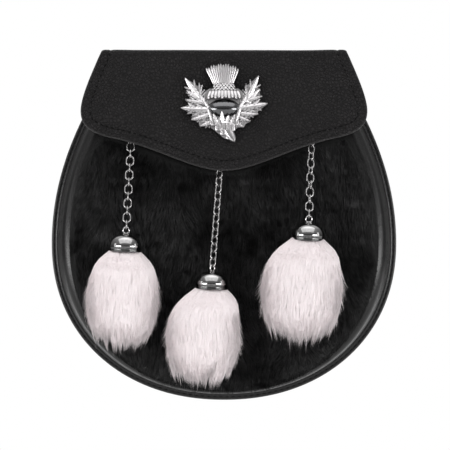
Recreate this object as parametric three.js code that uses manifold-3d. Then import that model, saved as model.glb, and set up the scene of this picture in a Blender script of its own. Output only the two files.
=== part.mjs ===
// A semi-dress sporran: a moulded leather pouch with a fur front, a grained leather flap that folds
// over the mouth, a cast thistle badge, and three fur tassels in bell caps on short cable chains.
// Millimetres, +Z up. The front faces -Y and the back, with its two belt loops, faces +Y.
// The origin is the middle of the belt, half way between the two loops.
import * as THREE from "three";
import { mergeVertices } from "three/addons/utils/BufferGeometryUtils.js";
import Module from "manifold-3d";

const wasm = await Module();
wasm.setup();

// ---- Driving dimensions ----
// "drop" is measured down from the top fold, "rise" forward from the front face of the back panel,
// and "inset" inward from the back panel's outline.
const GAP = 0.3; // clearance between pieces that touch
const BELT_DROP = 44; // top fold down to the belt's centre line
const BELT_GAP = 6; // room for the belt's thickness inside a loop

const BODY = {
  halfWidth: 95, // at the widest line
  height: 192.5, // top fold to the lowest point
  widestDrop: 106,
  flare: 0.0036, // how fast the sides draw in above the widest line, per mm squared
  shoulderDrop: 40, // above this the sides run straight
  roundness: 2.14, // exponent of the lower curve, 2 being an ellipse
  backThick: 2.4,
  backTop: 7.5,
};
const GUSSET = {
  thick: 1.8,
  flange: 3.4, // width of the seam left flat round the outside
  topDrop: 12,
  rimRadius: 6, // how the wall rolls over to the front
  lip: 6, // tucked under the front panel
  sideLean: 2.6, // how far the wall leans in at the sides
  baseLean: 0.5, // and at the bottom
  shallow: 22, // depth at the mouth
  deep: 30, // depth at the base
  deepDrop: 125, // where the full depth is reached
  sideSteps: 6,
  baseSteps: 18,
};
const PANEL = { thick: 1.8, crown: 3, crownHalfWidth: 80, crownHalfHeight: 86, crownDrop: 98 };
const FUR = {
  thick: 3.5, // the full pile
  thin: 0.3, // the pile's share of that at its upper edge
  fade: 24, // how far down the pile thickens
  seat: 0.6, // clearance over the crowned panel
  hidden: 3, // reach up behind the flap
  shy: 0.6, // how far inside the panel's edge its upper corners stay
  spreadDrop: 18, // how far below them it has spread over the rim
  overSide: 1.6, // that spread, outward at the sides
  overBase: 5, // and at the bottom
  brim: 1.5, // the thickness of its outer edge
  roundWidth: 3, // width of the rounded border
  wrap: 0.8, // how far outside the panel's edge its underside turns down
  wrapWidth: 0.5, // and how far further out it is down at the rim
  undercut: 0.3, // how far inside the widest loop the underside's outer loop lies
  rimGap: 0.1, // its underside there, above the rim's highest line
};
const FLAP = {
  thick: 2.2,
  topHalfWidth: 67,
  tabDrop: 17, // the flap's end, sewn down behind the back panel
  tabTaper: 1.5, // narrower at that end
  foldRadius: 6,
  frontRise: 27.5, // inner face at the front fold
  tipRise: 38.6, // inner face at the tip
  sideLead: { x: 70.4, drop: 9 }, // the two handles of the side's curve
  sideTail: { x: 78.3, drop: 24.5 },
  wide: { x: 78.4, drop: 33.5 }, // the side's widest point
  cornerLead: { x: 78.4, drop: 41 }, // the handles of the rounded corner
  cornerTail: { x: 74.1, drop: 45.3 },
  corner: { x: 62, drop: 48.2 }, // where the corner meets the lower edge
  edgeLead: { x: 36, drop: 53.2 }, // the handles of the lower edge
  edgeTail: { x: 18, drop: 66.2 },
  tipDrop: 66.2,
};
const STUD = { radius: 6, topRadius: 4, drop: 40 };
const LOOP = { centre: 45, width: 22, thick: 2, foot: 9, opening: 29, bend: 3 };
const LINK = { length: 6.2, width: 4.9, wire: 0.9, sides: 6, steps: 10 };
const EYE = { radius: 1.7, wire: 0.9 }; // the ring of an anchor or a cap, to the middle of its wire
const ANCHOR = { plateRadius: 2.6, plate: 1 };
const CAP = { radius: 8.9, height: 10, tilt: 3 };
// The cap's wall, from the top down the outside and back up the inside.
const CAP_WALL = [
  { r: 0, down: 0 },
  { r: 4.2, down: 0.6 },
  { r: 7, down: 2.5 },
  { r: 8.5, down: 4.9 },
  { r: CAP.radius, down: 6.9 },
  { r: 8.7, down: 8.6 },
  { r: 8.3, down: CAP.height },
  { r: 7.5, down: CAP.height },
  { r: 8, down: 7 },
  { r: 6.5, down: 3.4 },
  { r: 0, down: 1.3 },
];
// The tassel's neck inside the cap, and its sections: share of the length below the cap, share of the
// full half width.
const NECK = { radius: 6.3, top: -4.4 };
const TASSEL = { sides: 14, back: 8.2, fullness: 1.15, leanOver: 0.6 };
const TASSEL_SECTIONS = [
  { down: 0.02, out: 0.5 },
  { down: 0.12, out: 0.77 },
  { down: 0.28, out: 0.94 },
  { down: 0.46, out: 1 },
  { down: 0.64, out: 0.98 },
  { down: 0.8, out: 0.85 },
  { down: 0.93, out: 0.56 },
];

// One row for each tassel: where its chain starts behind the flap, where the top of its cap hangs,
// the turn of the chain's first and last link, and the fur's half sizes, length and sideways lean.
const DROPS = [
  { name: "left", fromX: -50.6, fromDrop: 46.4, fromRise: 32, x: -53.4, drop: 100.7,
    links: 13, firstTurn: 0, lastTurn: 0, width: 20.3, length: 55, depth: 13, lean: -3 },
  { name: "middle", fromX: -2, fromDrop: 61.2, fromRise: 34.4, x: -6.4, drop: 121.2,
    links: 14, firstTurn: 45, lastTurn: 45, width: 22.3, length: 55, depth: 13.5, lean: -4.6 },
  { name: "right", fromX: 48, fromDrop: 47.6, fromRise: 32.4, x: 46.2, drop: 94.6,
    links: 11, firstTurn: 45, lastTurn: 0, width: 24, length: 59.5, depth: 14, lean: -3 },
];

// The badge, to the right of and above the middle of its bulb. One row for each tooth of a leaf, from
// the inner one round the outside to the stem: the tooth's point, then the notch that follows it.
const BADGE = { drop: 31.5, plate: 1.6 };
const TEETH = [
  { x: 11.7, up: 11.5, notchX: 14.2, notchUp: 10.8 },
  { x: 20.6, up: 17.2, notchX: 18.2, notchUp: 10.7 },
  { x: 20.5, up: 9.7, notchX: 18.7, notchUp: 5.4 },
  { x: 21.5, up: 4.7, notchX: 18, notchUp: 2 },
  { x: 24.4, up: 0.2, notchX: 18, notchUp: -3.7 },
  { x: 18.9, up: -6.3, notchX: 13.3, notchUp: -7.8 },
  { x: 12.4, up: -11.7, notchX: 7.6, notchUp: -11.4 },
];
const STEM = { leftX: -3, leftUp: -15.4, tipX: 5.6, tipUp: -19.8, rightX: 3.5, rightUp: -15.4 };
const BULB = {
  halfWidth: 8,
  halfHeight: 6.4,
  stand: 4.6,
  shoulderX: 10.6, // where the leaves meet above it
  shoulderUp: 6.6,
  slotX: 9.3, // the openings either side of it
  slotUp: 1.6,
  slotHalf: 0.9,
  slotHalfHeight: 2.2,
};
// The layers above the bulb, the frill, the collar and the thistledown: lower and upper half width,
// lower and upper height, and thickness.
const CROWN = [
  { low: 11.4, high: 9.6, from: 3.2, to: 7.6, thick: 4.2 },
  { low: 7.6, high: 5.2, from: 6.6, to: 12.4, thick: 3.6 },
  { low: 5.3, high: 9.3, from: 12, to: 21, thick: 3, arch: 3 },
];

// ---- Materials ----
const paint = (color, roughness, metalness = 0) =>
  new THREE.MeshStandardMaterial({ color, roughness, metalness });
const MATERIAL = {
  grained: paint(0x232323, 0.62),
  smooth: paint(0x161516, 0.32),
  fur: paint(0x0d0d0e, 0.55),
  tassel: paint(0xf0eae9, 0.9),
  chrome: paint(0xd6d4d6, 0.12, 1),
  pewter: paint(0xd9d5d8, 0.26, 1),
};

// ---- Frame ----
const backFace = BELT_GAP / 2 + BODY.backThick; // the back panel's front face, in front of the belt

/** A point from its sideways place, its drop and its rise. */
const at = (x, drop, rise) => new THREE.Vector3(x, -(backFace + rise), BELT_DROP - drop);

/** 0 to 1 with a smooth start and end. */
const smooth = (v) => THREE.MathUtils.smoothstep(v, 0, 1);
const { lerp, degToRad } = THREE.MathUtils;

/** Numbers from a to b in n steps, both ends included. */
const spaced = (a, b, n) => Array.from({ length: n + 1 }, (_, i) => lerp(a, b, i / n));

/** The angles of n steps of a full turn. */
const turn = (n) => spaced(0, 2 * Math.PI, n).slice(0, -1);

// ---- Building closed solids ----
/** A geometry from points and triangles, its faces turned outward. */
function solid(points, triangles) {
  let volume = 0;
  for (const [a, b, c] of triangles)
    volume += points[a].dot(new THREE.Vector3().crossVectors(points[b], points[c]));
  const faces = volume < 0 ? triangles.map(([a, b, c]) => [a, c, b]) : triangles;
  const geometry = new THREE.BufferGeometry().setFromPoints(points).setIndex(faces.flat());
  geometry.computeVertexNormals();
  return geometry;
}

/** A wall between two grids of points of the same size, closed round its four edges. */
function wall(outer, inner) {
  const rows = outer.length;
  const cols = outer[0].length;
  const points = [...outer.flat(), ...inner.flat()];
  const id = (side, r, c) => side * rows * cols + r * cols + c;
  const triangles = [];
  const quad = (a, b, c, d) => triangles.push([a, b, c], [a, c, d]);
  for (let r = 0; r + 1 < rows; r++)
    for (let c = 0; c + 1 < cols; c++) {
      quad(id(0, r, c), id(0, r, c + 1), id(0, r + 1, c + 1), id(0, r + 1, c));
      quad(id(1, r, c), id(1, r + 1, c), id(1, r + 1, c + 1), id(1, r, c + 1));
    }
  for (let c = 0; c + 1 < cols; c++) {
    quad(id(0, 0, c), id(1, 0, c), id(1, 0, c + 1), id(0, 0, c + 1));
    quad(id(0, rows - 1, c + 1), id(1, rows - 1, c + 1), id(1, rows - 1, c), id(0, rows - 1, c));
  }
  for (let r = 0; r + 1 < rows; r++) {
    quad(id(0, r + 1, 0), id(1, r + 1, 0), id(1, r, 0), id(0, r, 0));
    quad(id(0, r, cols - 1), id(1, r, cols - 1), id(1, r + 1, cols - 1), id(0, r + 1, cols - 1));
  }
  return solid(points, triangles);
}

/** A closed form through rings of equally many points, with a pole at each end. */
function rings(startPole, loops, endPole) {
  const n = loops[0].length;
  const points = [startPole, ...loops.flat(), endPole];
  const id = (loop, i) => 1 + loop * n + (i % n);
  const last = loops.length - 1;
  const triangles = [];
  for (let i = 0; i < n; i++) {
    triangles.push([0, id(0, i), id(0, i + 1)]);
    triangles.push([points.length - 1, id(last, i + 1), id(last, i)]);
    for (let k = 0; k < last; k++) {
      triangles.push([id(k, i), id(k + 1, i), id(k + 1, i + 1)]);
      triangles.push([id(k, i), id(k + 1, i + 1), id(k, i + 1)]);
    }
  }
  return solid(points, triangles);
}

/** A manifold-3d solid from a closed geometry. */
function manifold(geometry) {
  const bare = geometry.clone();
  bare.deleteAttribute("normal");
  bare.deleteAttribute("uv");
  const merged = mergeVertices(bare, 1e-4);
  return new wasm.Manifold(
    new wasm.Mesh({
      numProp: 3,
      vertProperties: merged.attributes.position.array,
      triVerts: new Uint32Array(merged.index.array),
    }),
  );
}

/** A geometry from a manifold-3d solid. */
function fromManifold(made) {
  const mesh = made.getMesh();
  const geometry = new THREE.BufferGeometry();
  geometry.setAttribute("position", new THREE.BufferAttribute(mesh.vertProperties, 3));
  geometry.setIndex(new THREE.BufferAttribute(mesh.triVerts, 1));
  geometry.computeVertexNormals();
  return geometry;
}

/** One geometry from several that overlap, as metal that is cast or soldered in one. */
const joined = (geometries) => fromManifold(geometries.map(manifold).reduce((a, b) => a.add(b)));

/** A lathe about Z from [radius, height] pairs, its faces turned outward. */
function lathe(profile, segments) {
  const turned = new THREE.LatheGeometry(profile.map(([r, z]) => new THREE.Vector2(r, z)), segments);
  turned.rotateX(Math.PI / 2);
  turned.deleteAttribute("normal");
  turned.deleteAttribute("uv");
  const merged = mergeVertices(turned, 1e-4);
  const place = merged.attributes.position;
  const index = merged.index.array;
  const points = [];
  for (let i = 0; i < place.count; i++) points.push(new THREE.Vector3().fromBufferAttribute(place, i));
  const faces = [];
  for (let i = 0; i < index.length; i += 3) faces.push([...index.slice(i, i + 3)]);
  return solid(points, faces.filter(([a, b, c]) => a !== b && b !== c && a !== c));
}

/** A mesh with its node name and material. */
function piece(name, geometry, material) {
  const mesh = new THREE.Mesh(geometry, material);
  mesh.name = name;
  return mesh;
}

// ---- The body's outline ----
/** Half the body's width at a drop down to the widest line. */
function sideHalfWidth(drop) {
  const up = BODY.widestDrop - Math.max(drop, BODY.shoulderDrop);
  const slope = 2 * BODY.flare * (BODY.widestDrop - BODY.shoulderDrop);
  return BODY.halfWidth - BODY.flare * up * up - slope * Math.max(0, BODY.shoulderDrop - drop);
}

/** A point of the body's outline: 0 to 1 runs down the left side, 1 to 2 round the base, 2 to 3 up. */
function outline(u, topDrop) {
  if (u > 1.5) return outline(3 - u, topDrop).multiply(new THREE.Vector2(-1, 1));
  if (u <= 1) {
    const drop = lerp(topDrop, BODY.widestDrop, u);
    return new THREE.Vector2(-sideHalfWidth(drop), drop);
  }
  const angle = (u - 1) * Math.PI;
  const power = 2 / BODY.roundness;
  const reach = BODY.height - BODY.widestDrop;
  return new THREE.Vector2(
    -BODY.halfWidth * Math.cos(angle) ** power,
    BODY.widestDrop + reach * Math.sin(angle) ** power,
  );
}

/** Stations down one side, round the base and up the other, with the outward direction at each. */
function stations(topDrop) {
  const places = [
    ...spaced(0, 1, GUSSET.sideSteps).slice(0, -1),
    ...spaced(1, 2, GUSSET.baseSteps),
    ...spaced(2, 3, GUSSET.sideSteps).slice(1),
  ];
  const step = 1e-3;
  return places.map((u) => {
    const ahead = outline(Math.min(3, u + step), topDrop);
    const along = ahead.sub(outline(Math.max(0, u - step), topDrop)).normalize();
    return { edge: outline(u, topDrop), out: new THREE.Vector2(-along.y, along.x) };
  });
}

/** How far the wall leans in at a station: most at the sides, least at the base. */
const lean = (out) => lerp(GUSSET.baseLean, GUSSET.sideLean, out.x * out.x);

/** The inset of the front rim at a station, where the wall has rolled over to the front. */
const rimInset = (out) => GUSSET.flange + lean(out) + GUSSET.rimRadius;

/** The body's depth at a drop. */
const depth = (drop) =>
  lerp(GUSSET.shallow, GUSSET.deep, smooth((drop - GUSSET.topDrop) / (GUSSET.deepDrop - GUSSET.topDrop)));

/** How far the front swells at a point. */
const crown = (x, drop) =>
  PANEL.crown *
  Math.max(0, 1 - (x / PANEL.crownHalfWidth) ** 2 - ((drop - PANEL.crownDrop) / PANEL.crownHalfHeight) ** 2);

/** The rise of the front panel's face at a point. */
const panelFace = (x, drop) => depth(drop) + crown(x, drop) + GAP + PANEL.thick;

/** A station's point at an inset. */
const insetPoint = ({ edge, out }, inset) => edge.clone().addScaledVector(out, -inset);

// ---- Pouch walls ----
function backPanel() {
  const half = stations(BODY.backTop).map(({ edge }) => edge);
  const shape = new THREE.Shape(half.map((p) => new THREE.Vector2(p.x, BELT_DROP - p.y)));
  const geometry = new THREE.ExtrudeGeometry(shape, { depth: BODY.backThick, bevelEnabled: false });
  geometry.rotateX(Math.PI / 2);
  geometry.translate(0, -backFace + BODY.backThick, 0);
  return piece("back_panel", geometry, MATERIAL.smooth);
}

/** The gusset's section: a flat seam, the side wall, the rolled rim and the lip behind the panel. */
function gussetSection(station) {
  const { flange, thick, rimRadius, lip } = GUSSET;
  const lie = GAP + thick / 2;
  const turnIn = flange + lean(station.out);
  const wallSteps = [0.12, 0.45]; // shares of the side wall's height
  const arc = spaced(0, 90, 4).map(degToRad);
  const middle = [
    { inset: 0.4, rise: () => lie },
    { inset: flange - 0.8, rise: () => lie },
    ...wallSteps.map((s) => ({
      inset: lerp(flange, turnIn, s) + thick / 2,
      rise: (deep) => lie + s * (deep - rimRadius),
    })),
    ...arc.map((a) => ({
      inset: turnIn + rimRadius - (rimRadius - thick / 2) * Math.cos(a),
      rise: (deep) => deep - rimRadius + (rimRadius - thick / 2) * Math.sin(a),
    })),
    { inset: turnIn + rimRadius + lip, rise: (deep) => deep - thick / 2 },
  ].map(({ inset, rise }) => {
    const point = insetPoint(station, inset);
    return new THREE.Vector2(inset, rise(depth(point.y)));
  });
  return middle.map((p, i) => {
    const along = middle[Math.min(i + 1, middle.length - 1)].clone().sub(middle[Math.max(i - 1, 0)]);
    const across = new THREE.Vector2(-along.y, along.x).normalize().multiplyScalar(thick / 2);
    return { outer: p.clone().add(across), inner: p.clone().sub(across) };
  });
}

function gusset() {
  const sections = stations(GUSSET.topDrop).map((station) => {
    const place = ({ x: inset, y: rise }) => {
      const point = insetPoint(station, inset);
      return at(point.x, point.y, rise);
    };
    const section = gussetSection(station);
    return {
      outer: section.map(({ outer }) => place(outer)),
      inner: section.map(({ inner }) => place(inner)),
    };
  });
  const geometry = wall(sections.map((s) => s.outer), sections.map((s) => s.inner));
  return piece("gusset", geometry, MATERIAL.smooth);
}

/** A loop drawn in towards the middle of the front. */
const drawnIn = (loop, share) => {
  const middle = new THREE.Vector2(0, PANEL.crownDrop);
  return loop.map((p) => p.clone().sub(middle).multiplyScalar(share).add(middle));
};

const SHARES = [0.25, 0.5, 0.75, 1];

function frontPanel() {
  const sides = stations(GUSSET.topDrop).map((s) => insetPoint(s, rimInset(s.out)));
  const across = spaced(1, -1, 6).slice(1, -1).map((c) => new THREE.Vector2(-c * sides[0].x, sides[0].y));
  const edge = [...sides, ...across];
  const lift = (rise) => (p) => at(p.x, p.y, depth(p.y) + crown(p.x, p.y) + rise);
  const pole = new THREE.Vector2(0, PANEL.crownDrop);
  const over = GAP + PANEL.thick;
  const loops = [
    ...SHARES.map((s) => drawnIn(edge, s).map(lift(over))),
    ...SHARES.toReversed().map((s) => drawnIn(edge, s).map(lift(GAP))),
  ];
  return piece("front_panel", rings(lift(over)(pole), loops, lift(GAP)(pole)), MATERIAL.smooth);
}

// ---- Flap ----
/** A point of the front from a place with x and drop. */
const spot = ({ x, drop }) => new THREE.Vector2(x, drop);

/** Half of the flap's free edge, from the widest point of its side to the tip. */
const flapEdgeHalf = new THREE.CurvePath();
flapEdgeHalf.add(
  new THREE.CubicBezierCurve(
    spot(FLAP.wide), spot(FLAP.cornerLead), spot(FLAP.cornerTail), spot(FLAP.corner)),
);
flapEdgeHalf.add(
  new THREE.CubicBezierCurve(
    spot(FLAP.corner), spot(FLAP.edgeLead), spot(FLAP.edgeTail), new THREE.Vector2(0, FLAP.tipDrop)),
);
const flapSide = new THREE.CubicBezierCurve(
  new THREE.Vector2(FLAP.topHalfWidth, 0), spot(FLAP.sideLead), spot(FLAP.sideTail), spot(FLAP.wide));

/** A point of the flap's free edge for c from -1, the left side, to 1, the right. */
function flapEdge(c) {
  const p = flapEdgeHalf.getPointAt(1 - Math.abs(c));
  return new THREE.Vector2(Math.sign(c) * p.x, p.y);
}

/** The drop of the flap's free edge at a sideways place. */
function flapEdgeDrop(x) {
  const target = Math.min(Math.abs(x), FLAP.wide.x);
  let [low, high] = [0, 1];
  for (let i = 0; i < 24; i++) {
    const middle = (low + high) / 2;
    if (flapEdge(middle).x < target) low = middle;
    else high = middle;
  }
  return flapEdge(low).y;
}

/** A point of the flap's front, spread between its top, its sides and its free edge. */
function flapFront(c, v) {
  const side = flapSide.getPoint(v);
  const free = flapEdge(c);
  const share = Math.abs(c);
  const top = new THREE.Vector2(FLAP.topHalfWidth * share, 0);
  const tip = new THREE.Vector2(0, v * FLAP.tipDrop);
  const corners = new THREE.Vector2(0, v * FLAP.tipDrop * (1 - share)).addScaledVector(
    new THREE.Vector2(lerp(FLAP.topHalfWidth, FLAP.wide.x, v), v * FLAP.wide.drop), share);
  return new THREE.Vector2(Math.abs(free.x), free.y).multiplyScalar(v)
    .addScaledVector(top, 1 - v)
    .addScaledVector(tip, 1 - share)
    .addScaledVector(side, share)
    .sub(corners)
    .multiply(new THREE.Vector2(Math.sign(c), 1));
}

/** The flap's inner rise in front of the body at a drop. */
const flapRise = (drop) => lerp(FLAP.frontRise, FLAP.tipRise, drop / FLAP.tipDrop);

/** How far the flap's front leans out from the vertical. */
const flapLean = Math.atan((FLAP.tipRise - FLAP.frontRise) / FLAP.tipDrop);

/** The flap's outer section behind and over the top: rise, drop, and the angle of the way outward. */
function flapOver() {
  const { foldRadius: r, thick } = FLAP;
  const behind = -(BODY.backThick + GAP + thick);
  const front = flapRise(r) + thick;
  const bend = (centre, from, to) =>
    spaced(from, to, 3).map((a) => ({ rise: centre - r * Math.cos(a), drop: r - r * Math.sin(a), angle: a }));
  return [
    { rise: behind, drop: FLAP.tabDrop, angle: 0 },
    ...bend(behind + r, 0, Math.PI / 2),
    ...bend(front - r, Math.PI / 2, Math.PI - flapLean),
  ];
}

/** Half the flap's width behind and over the top. */
const flapOverHalf = (rise, drop) =>
  rise < 0
    ? FLAP.topHalfWidth - FLAP.tabTaper * Math.min(1, drop / FLAP.tabDrop)
    : flapSide.getPoint(drop / FLAP.wide.drop).x;

function flap() {
  const columns = spaced(-1, 1, 22);
  const frontRows = [0.18, 0.34, 0.5, 0.7, 0.86, 1];
  const outer = [];
  const inner = [];
  for (const { rise, drop, angle } of flapOver()) {
    const half = flapOverHalf(rise, drop);
    const row = (thick) =>
      columns.map((c) => at(c * half, drop + thick * Math.sin(angle), rise + thick * Math.cos(angle)));
    outer.push(row(0));
    inner.push(row(FLAP.thick));
  }
  for (const v of frontRows) {
    const row = (thick) =>
      columns.map((c) => {
        const p = flapFront(c, v);
        return at(p.x, p.y, flapRise(p.y) + thick);
      });
    outer.push(row(FLAP.thick));
    inner.push(row(0));
  }
  return piece("flap", wall(outer, inner), MATERIAL.grained);
}

function snapStud() {
  const base = panelFace(0, STUD.drop + STUD.radius) + GAP;
  const top = flapRise(STUD.drop - STUD.radius) - GAP;
  const half = (top - base) / 2;
  const profile = [[0, -half], [STUD.radius, -half], [STUD.topRadius, half], [0, half]];
  const stud = piece("snap_stud", lathe(profile, 16), MATERIAL.chrome);
  stud.rotation.x = Math.PI / 2;
  stud.position.copy(at(0, STUD.drop, (base + top) / 2));
  return stud;
}

// ---- Fur front ----
/** The drop of the fur's upper edge, just above the flap's free edge. */
const furTop = (x) => flapEdgeDrop(x) - FUR.hidden;

/** How thick the pile stands at a point away from its edge. */
const pile = (x, drop) => FUR.thick * lerp(FUR.thin, 1, smooth((drop - furTop(x)) / FUR.fade));

/** The rise of the fur's face at a point. */
const furFace = (x, drop) => panelFace(x, drop) + FUR.seat + pile(x, drop);

/** How far the fur spreads outward over the rim at a station. */
const spread = (out) => lerp(FUR.overBase, FUR.overSide, out.x * out.x);

/** The outline's drop where the fur's sides start, so that they meet its upper edge at the corners. */
function furStart() {
  let [low, high] = [GUSSET.topDrop, BODY.widestDrop];
  for (let i = 0; i < 24; i++) {
    const middle = (low + high) / 2;
    const station = stations(middle)[0];
    const corner = insetPoint(station, rimInset(station.out));
    if (corner.y < furTop(corner.x)) low = middle;
    else high = middle;
  }
  return low;
}

/** The fur's border: points near the panel's edge, the way outward, and how far out the fur reaches. */
function furBorder() {
  const sides = stations(furStart());
  const start = insetPoint(sides[0], rimInset(sides[0].out)).y;
  const upward = new THREE.Vector2(0, -1);
  const around = sides.map((s, i) => {
    const from = insetPoint(s, rimInset(s.out));
    const atCorner = i === 0 || i === sides.length - 1;
    const spreading = smooth((from.y - start) / FUR.spreadDrop);
    return {
      from,
      out: atCorner ? s.out.clone().add(upward).normalize() : s.out,
      reach: lerp(-FUR.shy, spread(s.out), spreading),
    };
  });
  const across = spaced(1, -1, 14).slice(1, -1).map((c) => {
    const x = c * around.at(-1).from.x;
    return { from: new THREE.Vector2(x, furTop(x)), out: upward, reach: 0 };
  });
  return [...around, ...across];
}

function furFront() {
  const border = furBorder();
  /** The border moved to a distance outward of the panel's edge, which each point gives from its reach. */
  const loop = (distance) =>
    border.map(({ from, out, reach }) => from.clone().addScaledVector(out, distance(reach)));
  const over = (p) => at(p.x, p.y, furFace(p.x, p.y));
  const under = (p) => at(p.x, p.y, panelFace(p.x, p.y) + FUR.seat);
  /** The underside's rise: above the panel, and down towards the rim outside it. */
  const lowest = (p, distance) => {
    const outside = THREE.MathUtils.clamp((distance - FUR.wrap) / FUR.wrapWidth, 0, 1);
    return lerp(panelFace(p.x, p.y) + FUR.seat, depth(p.y) + FUR.rimGap, outside);
  };
  /** A loop of the rounded border, a share of the way up from its outer edge to the full pile. */
  const rounded = (step, share) =>
    loop((reach) => reach - step).map((p, i) => {
      const brim = Math.min(FUR.brim, pile(p.x, p.y) / 2);
      return at(p.x, p.y, lerp(lowest(p, border[i].reach - FUR.undercut) + brim, furFace(p.x, p.y), share));
    });
  const inside = loop((reach) => reach - FUR.roundWidth);
  const seated = loop((reach) => Math.min(reach - 1, FUR.wrap));
  const loops = [
    ...SHARES.map((s) => drawnIn(inside, s).map(over)),
    rounded(1, 0.58),
    rounded(0, 0),
    loop((reach) => reach - FUR.undercut).map((p, i) =>
      at(p.x, p.y, lowest(p, border[i].reach - FUR.undercut)),
    ),
    ...SHARES.toReversed().map((s) => drawnIn(seated, s).map(under)),
  ];
  const pole = new THREE.Vector2(0, PANEL.crownDrop);
  return piece("fur_front", rings(over(pole), loops, under(pole)), MATERIAL.fur);
}

// ---- Belt loops ----
function beltLoop(name, x) {
  const { thick, foot, opening, width, bend } = LOOP;
  const seat = -BELT_GAP / 2 + GAP + thick / 2;
  const stand = BELT_GAP / 2 + thick / 2;
  const edge = opening / 2;
  const half = [
    [edge + foot, seat],
    [edge + bend, seat],
    [edge + bend * 0.4, lerp(seat, stand, 0.12)],
    [edge, lerp(seat, stand, 0.5)],
    [edge - bend * 0.4, lerp(seat, stand, 0.88)],
    [edge - bend, stand],
  ];
  const middle = [...half, ...half.map(([z, y]) => [-z, y]).reverse()].map((p) => new THREE.Vector2(...p));
  const side = (sign) =>
    middle.map((p, i) => {
      const along = middle[Math.min(i + 1, middle.length - 1)].clone().sub(middle[Math.max(i - 1, 0)]);
      const across = new THREE.Vector2(-along.y, along.x).normalize().multiplyScalar((sign * thick) / 2);
      const q = p.clone().add(across);
      return [-1, 1].map((end) => new THREE.Vector3(x + (end * width) / 2, q.y, q.x));
    });
  return piece(name, wall(side(1), side(-1)), MATERIAL.smooth);
}

// ---- Chains ----
const halfLink = (LINK.length - LINK.wire) / 2;

/** The closed oval that a link's wire follows, its ends flat where the next links pull. */
class LinkCurve extends THREE.Curve {
  getPoint(t, target = new THREE.Vector3()) {
    const angle = t * 2 * Math.PI;
    const halfWidth = (LINK.width - LINK.wire) / 2;
    const flatEnd = Math.cos(Math.PI / LINK.steps);
    return target.set(halfWidth * Math.cos(angle), 0, (halfLink / flatEnd) * Math.sin(angle));
  }
}
const linkGeometry = new THREE.TubeGeometry(new LinkCurve(), LINK.steps, LINK.wire / 2, LINK.sides, true);

/** From an eye's middle to the middle of the link that hangs in it. */
const eyeToLink = EYE.radius - EYE.wire / 2 - LINK.wire / 2 - GAP + halfLink;

const downward = new THREE.Vector3(0, 0, -1);

/** The rise of the middle of a cap, clear of the fur that it hangs against. */
const capRise = ({ x, drop }) => furFace(x, drop + CAP.height) + CAP.radius + 2 * GAP;

/** The top of a cap, and the direction of its axis. */
const capPlace = (row) => ({
  top: at(row.x, row.drop, capRise(row)),
  up: new THREE.Vector3(Math.sin(degToRad(CAP.tilt)), 0, Math.cos(degToRad(CAP.tilt))),
});

/** A chain hangs straight from its anchor's eye to its cap's eye. */
function chainLine(row) {
  const from = at(row.fromX, row.fromDrop, row.fromRise);
  const { top, up } = capPlace(row);
  const to = top.addScaledVector(up, EYE.radius);
  const down = to.clone().sub(from).normalize();
  return { from, to, down };
}

/** A link's turn about its chain: each is a quarter turn from the next, on top of the chain's twist. */
const linkTurn = (row, i) =>
  degToRad(lerp(row.firstTurn, row.lastTurn, i / (row.links - 1)) + ((row.links - i) % 2) * 90);

function chain(row) {
  const { from, to, down } = chainLine(row);
  const first = from.clone().addScaledVector(down, eyeToLink);
  const last = to.clone().addScaledVector(down, -eyeToLink);
  return spaced(0, 1, row.links - 1).map((share, i) => {
    const name = `chain_${row.name}_link_${String(i + 1).padStart(2, "0")}`;
    const link = piece(name, linkGeometry, MATERIAL.chrome);
    link.quaternion.setFromUnitVectors(downward, down);
    link.rotateZ(linkTurn(row, i));
    link.position.lerpVectors(first, last, share);
    return link;
  });
}

/** A ring of wire about its middle, its plane turned about the vertical. */
function eye(facing) {
  const ring = new THREE.TorusGeometry(EYE.radius, EYE.wire / 2, LINK.sides, LINK.steps);
  ring.rotateX(Math.PI / 2);
  ring.rotateZ(facing);
  return ring;
}

/** The riveted plate and eye on the front panel, behind the flap, that a chain starts from. */
function anchor(row) {
  const plateDrop = row.fromDrop - EYE.radius;
  const seat = panelFace(row.fromX, plateDrop + ANCHOR.plateRadius) + GAP;
  const reach = row.fromRise - seat;
  const plate = new THREE.CylinderGeometry(ANCHOR.plateRadius, ANCHOR.plateRadius, ANCHOR.plate, 10);
  plate.translate(0, reach - ANCHOR.plate / 2, EYE.radius);
  const post = new THREE.CylinderGeometry(EYE.wire, EYE.wire, reach, 8);
  post.translate(0, reach / 2, EYE.radius);
  const facing = linkTurn(row, 0) + Math.PI / 2;
  const made = piece(`chain_anchor_${row.name}`, joined([eye(facing), plate, post]), MATERIAL.chrome);
  made.position.copy(chainLine(row).from);
  return made;
}

// ---- Caps and tassels ----
/** The bell cap: a polished hollow dome with a turned-in rim, and the eye that the chain hangs it by. */
function capGeometry(row) {
  const ring = eye(degToRad(row.lastTurn));
  ring.translate(0, 0, EYE.radius);
  const dome = lathe(CAP_WALL.map(({ r, down }) => [r, -down]), 16);
  return joined([dome, ring]);
}

/** The tassel's outer form: a neck inside the cap, then a full body that hangs flat against the fur. */
function tasselGeometry({ width, length, depth: front, lean: swing }) {
  const rim = -CAP.height - GAP;
  const angles = turn(TASSEL.sides);
  const section = ({ down, out }) =>
    angles.map((a) => {
      const through = Math.sin(a) > 0 ? TASSEL.back : front;
      return new THREE.Vector3(
        out * width * Math.cos(a) + swing * smooth(down / TASSEL.leanOver),
        Math.min(1, out * TASSEL.fullness) * through * Math.sin(a),
        rim - down * length,
      );
    });
  const round = (z) =>
    angles.map((a) => new THREE.Vector3(NECK.radius * Math.cos(a), NECK.radius * Math.sin(a), z));
  const loops = [round(NECK.top), round(rim), ...TASSEL_SECTIONS.map(section)];
  return rings(new THREE.Vector3(0, 0, NECK.top), loops, new THREE.Vector3(swing, 0, rim - length));
}

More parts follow.
